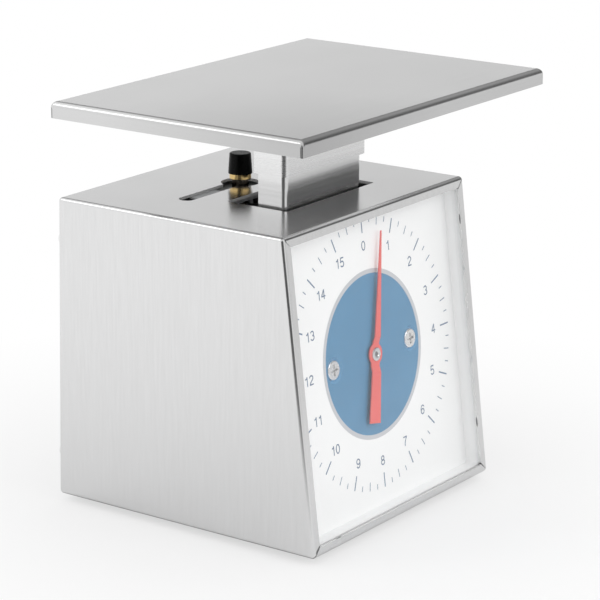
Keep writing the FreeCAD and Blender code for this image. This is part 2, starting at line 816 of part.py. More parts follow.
def platform_pan():
    """A shallow pan turned upside down, its four walls parted at the corners."""
    reach = platform_width / 2
    front = -overall_depth / 2
    rear = front + platform_depth
    foot = platform_top - platform_flange
    block = box((-reach, reach), (front, rear), (foot, platform_top))
    block = block.makeFillet(platform_corner, edges_where(block, lambda edge: is_along(edge, UP)))
    block = block.makeFillet(platform_bend,
                             edges_where(block, lambda edge: edge.BoundBox.ZMin > platform_top - sheet / 2))
    hollow = box((sheet - reach, reach - sheet), (front + sheet, rear - sheet),
                 (foot - overrun, platform_under))
    hollow = hollow.makeFillet(platform_bend - sheet,
                               edges_where(hollow, lambda edge: is_along(edge, UP)
                                           or edge.BoundBox.ZMin > platform_under - sheet / 2))
    slits = []
    for y in (front + platform_corner, rear - platform_corner):
        slits.append(box((-reach - overrun, reach + overrun),
                         (y - platform_slit / 2, y + platform_slit / 2),
                         (foot - overrun, platform_top - platform_bend)))
    keep = box((platform_bend - reach, reach - platform_bend), (front, rear),
               (foot - overrun, platform_top))
    return block.cut(hollow).cut([slit.cut(keep) for slit in slits])


def channel(reach, front, depth, thickness, bend, z_span):
    """An upright U-channel, its web in front and its open side at the back."""
    outer = box((-reach, reach), (front, front + depth), z_span)
    outer = outer.makeFillet(bend, edges_where(
        outer, lambda edge: is_along(edge, UP) and edge.BoundBox.YMax < front + depth / 2))
    hollow = box((thickness - reach, reach - thickness), (front + thickness, front + depth + overrun), z_span)
    hollow = hollow.makeFillet(bend - thickness, edges_where(
        hollow, lambda edge: is_along(edge, UP) and edge.BoundBox.YMax < front + depth / 2))
    return outer.cut(hollow)


def platform_bracket():
    reach = post_half_width + bracket_play + bracket_sheet
    front = post_front - bracket_play - bracket_sheet
    body = channel(reach, front, bracket_depth, bracket_sheet, bracket_bend, (bracket_foot, platform_under))
    top = (platform_under - bracket_sheet, platform_under)
    side = box((reach - bracket_sheet, reach + bracket_flange),
               (front + bracket_bend, front + bracket_depth), top)
    lip = box((bracket_bend - reach, reach - bracket_bend),
              (front - bracket_flange, front + bracket_sheet), top)
    return fuse([body, lip] + mirrored_pair(side))


def post_rivet_places():
    rises = (post_foot + post_rivet_from_foot, post_foot + post_rivet_from_foot + post_rivet_rise)
    return [Vec(side * post_rivet_x, post_front, rise) for side in (-1, 1) for rise in rises]


def platform_post():
    post = channel(post_half_width, post_front, post_depth, sheet, post_bend, (post_foot, platform_under))
    holes = [rod(rivet_radius + bush_play, place - BACKWARD * overrun, place + BACKWARD * (2 * sheet))
             for place in post_rivet_places()]
    return post.cut(holes)


rack_arm_rise = dial_centre_height + rack_above_axis - rack_arm_height
rack_middle = (pinion_front + pinion_rear) / 2 + mid_travel * math.sin(face_angle)
rack_front = rack_middle + rack_thickness / 2
rack_screw_x = pitch_radius + rack_arm_width / 2


def rack_screw_place():
    """Where the screw's head lies on the back of the carriage's web."""
    depth = (carriage_back - front_y - rack_arm_rise * math.sin(face_angle)) / math.cos(face_angle)
    z = floor_z + rack_arm_rise * math.cos(face_angle) - depth * math.sin(face_angle) + rack_arm_height / 2
    return Vec(rack_screw_x, carriage_back, z)


def arm_rivet_places():
    z = arm_height + arm_flange / 2
    return [Vec(knob_x + side * arm_rivet_spread, carriage_front, z) for side in (-1, 1)]


def carriage():
    reach = post_inner
    body = channel(reach, carriage_front, flange_end - carriage_front, sheet, post_bend,
                   (carriage_foot, carriage_head))
    holes = [rod(rivet_radius + bush_play, place, place + BACKWARD * (3 * sheet))
             for place in post_rivet_places()]
    holes += [rod(rivet_radius + bush_play, place - BACKWARD * overrun, place + BACKWARD * (2 * sheet))
              for place in arm_rivet_places()]
    screw = rack_screw_place()
    holes.append(rod(rack_screw_radius + hole_play, screw - BACKWARD * (2 * sheet),
                     screw + BACKWARD * overrun))
    for height in (lower_pin_height, upper_pin_height):
        centre = Vec(0, carriage_pin_y, height + mid_travel)
        holes.append(rod(link_pin_radius + bush_play, centre - ACROSS * (reach + overrun),
                         centre + ACROSS * (reach + overrun)))
    return body.cut(holes)


def post_rivets():
    return group([aimed(rivet(2 * sheet), place, -BACKWARD) for place in post_rivet_places()])


def carriage_pins():
    reach = ACROSS * (post_inner - carriage_pin_inset)
    centres = [Vec(0, carriage_pin_y, height + mid_travel) for height in (lower_pin_height, upper_pin_height)]
    return group([rod(link_pin_radius, centre - reach, centre + reach) for centre in centres])


def rack():
    """A toothed bar beside the pinion, with an arm back to the carriage's web."""
    centre = dial_centre_height
    rear = rack_front - rack_thickness
    crest = pitch_radius - rack_addendum_share * pinion_module
    valley = pitch_radius + rack_dedendum_share * pinion_module
    back = valley + rack_back_width
    low, high = centre - rack_below_axis, centre + rack_above_axis
    slope = math.tan(math.radians(pressure_angle_deg))
    at_pitch = (tooth_pitch / 2 - tooth_backlash) / 2
    at_crest = at_pitch - slope * (pitch_radius - crest)
    at_valley = at_pitch + slope * (valley - pitch_radius)
    bar = box((valley, back), (low, high), (rear, rack_front))
    teeth = []
    first = math.ceil((low - centre) / tooth_pitch)
    last = math.floor((rack_arm_rise - centre) / tooth_pitch) - 1
    for k in range(first, last):
        middle = centre + (k + 0.5) * tooth_pitch
        teeth.append(prism([Vec(valley + at_pitch, middle - at_valley, rear),
                            Vec(valley, middle - at_valley, rear),
                            Vec(crest, middle - at_crest, rear),
                            Vec(crest, middle + at_crest, rear),
                            Vec(valley, middle + at_valley, rear),
                            Vec(valley + at_pitch, middle + at_valley, rear)], UP * rack_thickness))
    reach = carriage_front - front_y
    arm = box((valley, valley + rack_arm_width), (rack_arm_rise, high), (-2 * reach, rack_front))
    solid = moved(fuse([bar, arm] + teeth), face_plane)
    behind = box((-half_width, half_width), (carriage_front, 2 * back_y), (floor_z, cover_z))
    place = rack_screw_place()
    tapped = sheet + rack_screw_bite + screw_play
    hole = rod(rack_screw_radius + screw_play, place - BACKWARD * tapped, place)
    return solid.cut([behind, hole])


def rack_screw():
    screw = pan_screw(rack_screw_head_radius, rack_screw_head_height, rack_screw_radius,
                      sheet + rack_screw_bite)
    return aimed(screw, rack_screw_place(), BACKWARD)


def spring_eye(z_hole):
    """An upright lug with an eye along Y, at the spring's axis."""
    return rod(lug_eye_radius, Vec(knob_x, knob_y - 2 * lug_half_thickness, z_hole),
               Vec(knob_x, knob_y + 2 * lug_half_thickness, z_hole))


def spring_lug(z_low, z_high):
    return box((knob_x - lug_half_width, knob_x + lug_half_width),
               (knob_y - lug_half_thickness, knob_y + lug_half_thickness), (z_low, z_high))


def spring_arm():
    reach = (knob_x - arm_half_width, knob_x + arm_half_width)
    plate = box(reach, (carriage_back, knob_y + arm_behind_spring), (arm_height - arm_thickness, arm_height))
    flange = box(reach, (carriage_back, carriage_back + arm_thickness), (arm_height, arm_height + arm_flange))
    eye_z = arm_height + lug_eye_height
    lug = spring_lug(arm_height, eye_z + lug_eye_radius + lug_strip)
    holes = [spring_eye(eye_z),
             rod(rod_radius + bush_play, Vec(0, damper_y, arm_height - 2 * arm_thickness),
                 Vec(0, damper_y, arm_height + overrun))]
    holes += [rod(rivet_radius + bush_play, place, place + BACKWARD * (2 * sheet + 2 * arm_thickness))
              for place in arm_rivet_places()]
    return fuse([plate, flange, lug]).cut(holes)


def arm_rivets():
    return group([aimed(rivet(sheet + arm_thickness), place, -BACKWARD) for place in arm_rivet_places()])


def check_link(height):
    """Two arms and a crossbar. The holes at the carriage are slots, where the loop is opened."""
    tilt = math.atan2(mid_travel, link_span)
    far = math.hypot(mid_travel, link_span)
    slack = far - link_span + link_slot_slack
    inner = link_outer - link_sheet
    arm_end = (link_span + far) / 2
    arm = box((inner, link_outer), (-arm_end, 0), (-link_half_height, link_half_height))
    ends = [rod(link_half_height, Vec(inner, y, 0), Vec(link_outer, y, 0)) for y in (-arm_end, 0)]
    arm = fuse([arm] + ends)
    bar_y = (-link_bar_from_pin - link_bar_thickness, -link_bar_from_pin)
    bar = box((-link_outer, link_outer), bar_y, (-link_half_height, link_half_height))
    body = fuse([bar] + mirrored_pair(arm))
    reach = link_outer + overrun
    hole = link_pin_radius + link_pin_play
    cuts = [rod(hole, Vec(-reach, y, 0), Vec(reach, y, 0))
            for y in (0, -arm_end - slack / 2, -arm_end + slack / 2)]
    cuts.append(box((-reach, reach), (-arm_end - slack / 2, -arm_end + slack / 2), (-hole, hole)))
    body = body.cut(cuts)
    body.rotate(Vec(0, 0, 0), ACROSS, -math.degrees(tilt))
    body.translate(Vec(0, frame_pin_y, height))
    return body


def frame_pin_centres():
    return [Vec(0, frame_pin_y, height) for height in (lower_pin_height, upper_pin_height)]


def frame_pins():
    """Headed pins across the frame's cheeks."""
    pins = []
    for centre in frame_pin_centres():
        reach = cheek_outer + link_play
        shank = rod(link_pin_radius, centre - ACROSS * reach, centre + ACROSS * reach)
        heads = [rod(pin_head_radius, centre + ACROSS * (side * reach),
                     centre + ACROSS * (side * (reach + pin_head))) for side in (-1, 1)]
        pins.append(fuse([shank] + heads))
    return group(pins)


def mechanism_frame():
    """A tall channel with its web at the back, standing on two feet."""
    top = bridge_foot
    front = frame_web_back - frame_cheek_depth
    web = box((-cheek_outer, cheek_outer), (frame_web_back - frame_sheet, frame_web_back), (base_top, top))
    cheek = box((cheek_inner, cheek_outer), (front, frame_web_back), (base_top, top))
    foot = box((cheek_outer - frame_foot_width, cheek_outer), (front, frame_web_back),
               (base_top, base_top + frame_sheet))
    frame = fuse([web] + mirrored_pair(cheek) + mirrored_pair(foot))
    holes = [rod(link_pin_radius + bush_play, centre - ACROSS * (cheek_outer + overrun),
                 centre + ACROSS * (cheek_outer + overrun)) for centre in frame_pin_centres()]
    holes += [rod(frame_screw_radius + hole_play, place - UP * (2 * frame_sheet), place + UP * overrun)
              for place in frame_screw_places()]
    holes += [rod(frame_screw_radius + screw_play, place - BACKWARD * (3 * frame_sheet), place)
              for place in bridge_screw_places()]
    return frame.cut(holes)


def frame_screws():
    screw = pan_screw(frame_screw_head_radius, frame_screw_head_height, frame_screw_radius,
                      frame_sheet + sheet)
    return group([aimed(screw, place, UP) for place in frame_screw_places()])


def bridge_screw_places():
    z = bridge_top - bridge_flange / 2 - frame_sheet / 2
    return [Vec(side * bridge_screw_spread, frame_web_back + frame_sheet, z) for side in (-1, 1)]


def spring_bridge():
    """A plate on top of the frame that carries the zero screw."""
    rear = frame_web_back + frame_sheet
    plate = box((-cheek_outer, cheek_outer), (knob_y - bridge_front_overhang, rear), (bridge_foot, bridge_top))
    flange = box((-cheek_outer, cheek_outer), (frame_web_back, rear), (bridge_top - bridge_flange, bridge_top))
    screw_hole = rod(zero_screw_radius + screw_play, Vec(knob_x, knob_y, bridge_foot - overrun),
                     Vec(knob_x, knob_y, bridge_top + overrun))
    pin = Vec(knob_x, knob_y + guide_pin_spacing, 0)
    pin_hole = rod(guide_pin_radius + bush_play, pin + UP * (bridge_foot - overrun),
                   pin + UP * (bridge_top + overrun))
    holes = [rod(frame_screw_radius + hole_play, place - BACKWARD * (2 * frame_sheet),
                 place + BACKWARD * overrun) for place in bridge_screw_places()]
    return fuse([plate, flange]).cut([screw_hole, pin_hole] + holes)


def bridge_screws():
    screw = pan_screw(frame_screw_head_radius, frame_screw_head_height, frame_screw_radius, 3 * frame_sheet)
    return group([aimed(screw, place, BACKWARD) for place in bridge_screw_places()])


def guide_pin():
    y = knob_y + guide_pin_spacing
    return rod(guide_pin_radius, Vec(knob_x, y, hanger_foot - guide_pin_below), Vec(knob_x, y, bridge_top))


def spring_hanger():
    """A block that the zero screw raises and lowers. Its tapped bore is modelled plain."""
    y_span = (knob_y - hanger_front, knob_y + guide_pin_spacing + hanger_behind_pin)
    block = box((knob_x - hanger_half_width, knob_x + hanger_half_width), y_span, (hanger_foot, hanger_top))
    eye_z = hanger_foot - lug_eye_height
    lug = spring_lug(eye_z - lug_eye_radius - lug_strip, hanger_foot)
    axis = Vec(knob_x, knob_y, 0)
    pin = Vec(knob_x, knob_y + guide_pin_spacing, 0)
    holes = [spring_eye(eye_z),
             rod(zero_screw_radius + screw_play, axis + UP * (hanger_foot + hanger_bore_end),
                 axis + UP * (hanger_top + overrun)),
             rod(guide_pin_radius + guide_play, pin + UP * (hanger_foot - overrun),
                 pin + UP * (hanger_top + overrun))]
    return fuse([block, lug]).cut(holes)


def zero_screw():
    """Brass, held in the bridge by its shoulder and a clip, with a collar under the knob."""
    foot = hanger_foot + zero_screw_end
    collar = knob_foot - zero_collar_height
    return turned([(0, foot), (zero_screw_radius, foot), (zero_screw_radius, bridge_top),
                   (zero_neck_radius, bridge_top), (zero_neck_radius, collar),
                   (zero_collar_radius, collar), (zero_collar_radius, knob_foot),
                   (zero_screw_radius, knob_foot), (zero_screw_radius, knob_foot + knob_bore_depth),
                   (0, knob_foot + knob_bore_depth)], knob_x, knob_y)


def zero_clip():
    inner, outer = zero_screw_radius + bush_play, zero_clip_radius
    low = bridge_foot - zero_clip_thickness
    return turned([(inner, low), (outer, low), (outer, bridge_foot), (inner, bridge_foot)], knob_x, knob_y)


def zero_knob_cap():
    top = knob_foot + knob_height
    cap = turned([(0, knob_foot), (knob_radius, knob_foot), (knob_top_radius, top), (0, top)])
    rim = edges_where(cap, lambda edge: edge.BoundBox.ZMin > top - knob_edge
                      and edge.BoundBox.XLength > knob_radius)
    cap = cap.makeFillet(knob_edge, rim)
    bore = rod(zero_screw_radius + bush_play, Vec(0, 0, knob_foot - overrun),
               Vec(0, 0, knob_foot + knob_bore_depth + bush_play))
    return aimed(cap.cut(bore), Vec(knob_x, knob_y, 0), UP)


def arc_from(start, tangent, end):
    """The arc that leaves start along tangent and reaches end."""
    chord = end - start
    along = chord * (1 / chord.Length)
    sideways = tangent - along * (tangent * along)
    angle = math.atan2(sideways.Length, tangent * along)
    sideways.normalize()
    middle = (start + end) * 0.5 + sideways * (chord.Length / 2 * math.tan(angle / 2))
    return Part.Arc(start, middle, end).toShape()


def biarc(start, tangent, end, end_tangent):
    """Two arcs that share a tangent where they meet."""
    chord = end - start
    both = tangent + end_tangent
    spread = 2 * (1 - tangent * end_tangent)
    reach = (math.sqrt((chord * both) ** 2 + spread * (chord * chord)) - chord * both) / spread
    joint = (start + end + (tangent - end_tangent) * reach) * 0.5
    turn = (joint - start - tangent * reach).normalize()
    return [arc_from(start, tangent, joint), arc_from(joint, turn, end)]


spring_low = arm_height + lug_eye_height + lug_eye_radius - lug_seat - spring_wire / 2
spring_high = hanger_foot - lug_eye_height - lug_eye_radius + lug_seat + spring_wire / 2
coil_low = spring_low + spring_radius
coil_high = spring_high - spring_radius
spring_turns = math.ceil((coil_high - coil_low) / spring_pitch)
coil_pitch = (coil_high - coil_low) / spring_turns


def main_spring():
    """An extension spring: open coils and an arch at each end that hooks through a lug."""
    quarters = 4 * spring_turns
    rise = coil_pitch / (2 * math.pi * spring_radius)
    slant = math.atan(rise)

    def coil_point(k):
        angle = math.pi / 2 + k * math.pi / 2
        place = Vec(knob_x + spring_radius * math.cos(angle), knob_y + spring_radius * math.sin(angle),
                    coil_low + coil_pitch * k / 4)
        tangent = Vec(-math.sin(angle) * math.cos(slant), math.cos(angle) * math.cos(slant), math.sin(slant))
        return place, tangent

    edges = []
    for k in range(quarters):
        place, tangent = coil_point(k)
        end, end_tangent = coil_point(k + 1)
        edges += biarc(place, tangent, end, end_tangent)
    start, tangent = coil_point(0)
    ring = Part.Wire(Part.makeCircle(spring_wire / 2, start, tangent))
    coil = Part.Wire(edges).makePipeShell([ring], True, False)
    parts = [coil]
    for z_arch, level, side in ((spring_low, coil_low, -1), (spring_high, coil_high, 1)):
        arch = Part.makeTorus(spring_radius, spring_wire / 2, Vec(knob_x, knob_y, level), ACROSS, 0, 360, 360)
        reach = spring_radius + spring_wire
        half = box((knob_x - spring_wire, knob_x + spring_wire), (knob_y - reach, knob_y + reach),
                   (min(level, level + side * reach), max(level, level + side * reach)))
        parts.append(arch.common(half))
        rise_half = coil_pitch / 2
        foot = Vec(knob_x, knob_y - spring_radius, level)
        parts.append(rod(spring_wire / 2, foot, foot - UP * (side * rise_half)))
    return fuse(parts)


def damper_cylinder():
    outer = rod(damper_radius, Vec(0, damper_y, base_top), Vec(0, damper_y, damper_top))
    hollow = rod(damper_radius - damper_wall, Vec(0, damper_y, base_top + damper_wall),
                 Vec(0, damper_y, damper_top + overrun))
    return outer.cut(hollow)


def damper_lid():
    plate = rod(damper_radius, Vec(0, damper_y, damper_top), Vec(0, damper_y, damper_top + damper_cap))
    hole = rod(rod_radius + rod_play, Vec(0, damper_y, damper_top - overrun),
               Vec(0, damper_y, damper_top + damper_cap + overrun))
    return plate.cut(hole)


def damper_piston():
    low = piston_top - piston_height
    disc = rod(damper_radius - damper_wall - piston_play, Vec(0, damper_y, low), Vec(0, damper_y, piston_top))
    return disc.cut(rod(rod_radius + bush_play, Vec(0, damper_y, low - overrun),
                        Vec(0, damper_y, piston_top + overrun)))


def damper_rod():
    return rod(rod_radius, Vec(0, damper_y, piston_top - piston_height),
               Vec(0, damper_y, arm_height + rod_above_arm))


def rod_nut():
    return aimed(hex_nut(rod_radius + bush_play), Vec(0, damper_y, arm_height), UP)


def upper_link():
    return check_link(upper_pin_height)


def lower_link():
    return check_link(lower_pin_height)


pieces = [
    housing_wrap, base_plate, back_cover, back_screws, corner_angles, feet, foot_screws, foot_nuts,
    lens, dial_plate, dial_rails, dial_rail_screws, dial_screws, gear_bridge, front_bushing, rear_bushing,
    pointer_shaft, shaft_collar, pinion, pointer_needle, pointer_hub,
    platform_pan, platform_bracket, platform_post, post_rivets, carriage, carriage_pins,
    rack, rack_screw, spring_arm, arm_rivets, upper_link, lower_link, frame_pins,
    mechanism_frame, frame_screws, spring_bridge, bridge_screws, guide_pin, spring_hanger,
    zero_screw, zero_clip, zero_knob_cap, main_spring,
    damper_cylinder, damper_lid, damper_piston, damper_rod, rod_nut,
]

os.makedirs("parts", exist_ok=True)
for make in pieces:
    shape = make()
    shape.exportStep("parts/" + make.__name__ + ".step")
    print(make.__name__, len(shape.Solids), "solid(s)", "valid" if shape.isValid() else "NOT VALID",
          round(shape.Volume, 2))

print("spring: least gap between turns", round(coil_pitch - spring_wire, 3))
print("travel up", round(travel_up, 4), "down", round(travel_down, 4))
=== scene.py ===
import json
import math
import bpy
from mathutils import Matrix, Vector


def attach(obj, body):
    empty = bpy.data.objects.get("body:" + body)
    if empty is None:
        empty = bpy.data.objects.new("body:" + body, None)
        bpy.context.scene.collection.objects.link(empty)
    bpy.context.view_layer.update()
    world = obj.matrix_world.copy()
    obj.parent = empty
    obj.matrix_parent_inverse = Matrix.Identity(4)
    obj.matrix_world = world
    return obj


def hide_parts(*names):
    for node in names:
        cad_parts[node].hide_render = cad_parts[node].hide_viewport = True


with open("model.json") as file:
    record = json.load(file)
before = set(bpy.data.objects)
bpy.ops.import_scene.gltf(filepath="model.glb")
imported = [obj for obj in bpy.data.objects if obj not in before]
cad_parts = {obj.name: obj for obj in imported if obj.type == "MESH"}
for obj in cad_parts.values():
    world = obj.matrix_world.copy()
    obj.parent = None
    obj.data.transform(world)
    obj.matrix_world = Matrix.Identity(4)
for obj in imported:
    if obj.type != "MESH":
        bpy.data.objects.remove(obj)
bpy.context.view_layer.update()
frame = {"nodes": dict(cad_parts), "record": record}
nodes = frame["nodes"]
print("frame loaded:", len(nodes), "nodes")

def turnedTo(spot, *axes):
    # puts a piece at the spot, with its X, Y and Z along the three axes
    return Matrix.Translation(spot) @ Matrix(axes).transposed().to_4x4()


# the glazed front leans back: where its foot is and how far the dial lies behind it
face = {"foot": (0, -0.06035, 0.003), "setback": 0.0152, "height": 0.127, "dialDepth": 0.0094,
        "centreUp": 0.0667}
lean = math.atan2(face["setback"], face["height"])
faceRight = Vector((1, 0, 0))
faceUp = Vector((0, math.sin(lean), math.cos(lean)))
faceOut = Vector((0, -math.cos(lean), math.sin(lean)))
faceFoot = Vector(face["foot"])
onDial = turnedTo(faceFoot + faceUp * face["centreUp"] - faceOut * face["dialDepth"],
                  faceRight, faceUp, faceOut)


def deselectAll():
    if bpy.context.mode != "OBJECT":
        bpy.ops.object.mode_set(mode="OBJECT")
    bpy.ops.object.select_all(action="DESELECT")


def makeActive(piece):
    deselectAll()
    piece.select_set(True)
    bpy.context.view_layer.objects.active = piece


def editAll():
    # opens the piece just added for editing, with all of it selected
    piece = bpy.context.active_object
    bpy.ops.object.mode_set(mode="EDIT")
    bpy.ops.mesh.select_all(action="SELECT")
    return piece


def extrude(x, y, z):
    bpy.ops.mesh.extrude_region_move(TRANSFORM_OT_translate={"value": (x, y, z)})


def faceOutward():
    # ends the editing with every face turned outward
    bpy.ops.mesh.select_all(action="SELECT")
    bpy.ops.mesh.normals_make_consistent(inside=False)
    deselectAll()


def applyModifier(piece, name, kind, **settings):
    modifier = piece.modifiers.new(name, kind)
    for key, value in settings.items():
        setattr(modifier, key, value)
    makeActive(piece)
    bpy.ops.object.modifier_apply(modifier=modifier.name)


def placeMesh(piece, matrix):
    # the place goes into the mesh, so that the object stays at the origin
    bpy.context.view_layer.update()
    piece.data.transform(matrix @ piece.matrix_world)
    piece.matrix_world = Matrix.Identity(4)


def joinPieces(pieces, name):
    makeActive(pieces[0])
    for piece in pieces[1:]:
        piece.select_set(True)
    bpy.ops.object.join()
    joined = pieces[0]
    joined.name = joined.data.name = name
    return joined


def copyPiece(piece, matrix):
    twin = piece.copy()
    twin.data = piece.data.copy()
    twin.data.transform(matrix)
    bpy.context.scene.collection.objects.link(twin)
    return twin


def dress(piece, material):
    piece.data.materials.clear()
    piece.data.materials.append(material)


def finishPiece(piece, body, material):
    dress(piece, material)
    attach(piece, body)
    print("made", piece.name, len(piece.data.polygons), "faces")


# Node helpers
def addNode(tree, kind, **settings):
    node = tree.nodes.new(kind)
    for key, value in settings.items():
        setattr(node, key, value)
    return node


def feed(tree, target, source):
    # a socket is linked, anything else is a fixed value
    if isinstance(source, bpy.types.NodeSocket):
        tree.links.new(source, target)
    else:
        target.default_value = source


def calculate(tree, operation, first, second=0.0, third=None):
    node = addNode(tree, "ShaderNodeMath", operation=operation)
    feed(tree, node.inputs[0], first)
    feed(tree, node.inputs[1], second)
    if third is not None:
        feed(tree, node.inputs[2], third)
    return node.outputs[0]


def spread(tree, value, low, high, newLow, newHigh):
    node = addNode(tree, "ShaderNodeMapRange", clamp=True)
    for socket, given in zip(node.inputs, (value, low, high, newLow, newHigh)):
        feed(tree, socket, given)
    return node.outputs[0]


def mixValues(tree, factor, first, second):
    node = addNode(tree, "ShaderNodeMix", data_type="FLOAT")
    for socket, given in ((0, factor), (2, first), (3, second)):
        feed(tree, node.inputs[socket], given)
    return node.outputs[0]


def blendColours(tree, factor, first, second, mode="MIX"):
    node = addNode(tree, "ShaderNodeMix", data_type="RGBA", blend_type=mode)
    for socket, given in ((0, factor), (6, first), (7, second)):
        feed(tree, node.inputs[socket], given)
    return node.outputs[2]


def tone(colour, share=1.0):
    # the colour taken down to a share of itself, with its alpha
    return (*(channel * share for channel in colour), 1)


def awayFrom(tree, position, spot):
    node = addNode(tree, "ShaderNodeVectorMath", operation="DISTANCE")
    tree.links.new(position, node.inputs[0])
    node.inputs[1].default_value = spot
    return node.outputs["Value"]


def noiseAt(tree, coordinates, stretch, detail=3.0, roughness=0.55):
    scaled = addNode(tree, "ShaderNodeVectorMath", operation="MULTIPLY")
    feed(tree, scaled.inputs[0], coordinates)
    feed(tree, scaled.inputs[1], stretch)
    noise = addNode(tree, "ShaderNodeTexNoise")
    noise.inputs["Scale"].default_value = 1.0
    noise.inputs["Detail"].default_value = detail
    noise.inputs["Roughness"].default_value = roughness
    tree.links.new(scaled.outputs[0], noise.inputs["Vector"])
    return noise.outputs["Fac"]


def newGroup(name, inputs, outputs):
    group = bpy.data.node_groups.new(name, "ShaderNodeTree")
    for label, kind, value in inputs:
        socket = group.interface.new_socket(label, in_out="INPUT", socket_type=kind)
        socket.default_value = value
    for label, kind in outputs:
        group.interface.new_socket(label, in_out="OUTPUT", socket_type=kind)
    return group, group.nodes.new("NodeGroupInput"), group.nodes.new("NodeGroupOutput")


def grainGroup():
    # brushing that runs along one direction: quick change across it, slow change along it
    group, given, out = newGroup("brushedGrain", [
        ("Coordinates", "NodeSocketVector", (0, 0, 0)), ("Fine", "NodeSocketVector", (900, 900, 14)),
        ("Broad", "NodeSocketVector", (150, 150, 3))],
        [("Grain", "NodeSocketFloat"), ("Streak", "NodeSocketFloat")])
    fine = noiseAt(group, given.outputs["Coordinates"], given.outputs["Fine"], detail=4.0, roughness=0.7)
    broad = noiseAt(group, given.outputs["Coordinates"], given.outputs["Broad"], detail=3.0, roughness=0.6)
    group.links.new(fine, out.inputs["Grain"])
    group.links.new(broad, out.inputs["Streak"])
    return group


def handledGroup():
    # faint smears from wiping and handling, and a few small pits
    marks = {"Smear": {"size": "Smear size", "shown": (0.35, 0.7), "detail": 5.0, "roughness": 0.6},
             "Pits": {"size": "Pit size", "shown": (0.74, 0.84), "detail": 1.0, "roughness": 0.55}}
    group, given, out = newGroup("handledSurface", [
        ("Coordinates", "NodeSocketVector", (0, 0, 0)), ("Smear size", "NodeSocketFloat", 28.0),
        ("Pit size", "NodeSocketFloat", 900.0)],
        [("Smear", "NodeSocketFloat"), ("Pits", "NodeSocketFloat")])
    for label, mark in marks.items():
        size = addNode(group, "ShaderNodeCombineXYZ")
        for socket in size.inputs:
            group.links.new(given.outputs[mark["size"]], socket)
        noise = noiseAt(group, given.outputs["Coordinates"], size.outputs[0], mark["detail"], mark["roughness"])
        group.links.new(spread(group, noise, *mark["shown"], 0.0, 1.0), out.inputs[label])
    return group


def dentGroup():
    # spot welds on the left wall, seen only as shallow rings in the brushing
    dent = {"places": ((-0.0639, -0.0319, 0.0760), (-0.0639, 0.0032, 0.0208), (-0.0639, -0.0345, 0.0232),
                       (-0.0639, -0.0282, 0.1095), (-0.0639, -0.0368, 0.0399)),
            "inner": 0.0010, "outer": 0.0022}
    group, given, out = newGroup("weldDents", [("Coordinates", "NodeSocketVector", (0, 0, 0))],
                                 [("Dents", "NodeSocketFloat")])
    total = 0.0
    for spot in dent["places"]:
        away = awayFrom(group, given.outputs["Coordinates"], spot)
        bowl = spread(group, away, dent["inner"], dent["outer"], 1.0, 0.0)
        total = calculate(group, "ADD", bowl, total)
    group.links.new(total, out.inputs["Dents"])
    return group


brushedGrain = grainGroup()
handledSurface = handledGroup()
weldDents = dentGroup()
print("shared node groups built")


def startMaterial(name):
    material = bpy.data.materials.new(name)
    material.use_nodes = True
    tree = material.node_tree
    shader = tree.nodes["Principled BSDF"]
    place = addNode(tree, "ShaderNodeTexCoord")
    return material, tree, shader, place


def useGroup(tree, group, **values):
    node = addNode(tree, "ShaderNodeGroup", node_tree=group)
    for key, value in values.items():
        feed(tree, node.inputs[key.replace("_", " ")], value)
    return node


def shineBump(tree, shader, height, distance):
    bump = addNode(tree, "ShaderNodeBump")
    bump.inputs["Strength"].default_value = 1.0
    bump.inputs["Distance"].default_value = distance
    tree.links.new(height, bump.inputs["Height"])
    tree.links.new(bump.outputs["Normal"], shader.inputs["Normal"])


steelMix = {"topRange": (0.6, 0.8), "shadeRange": (0.25, 0.75), "smearShade": 0.94}


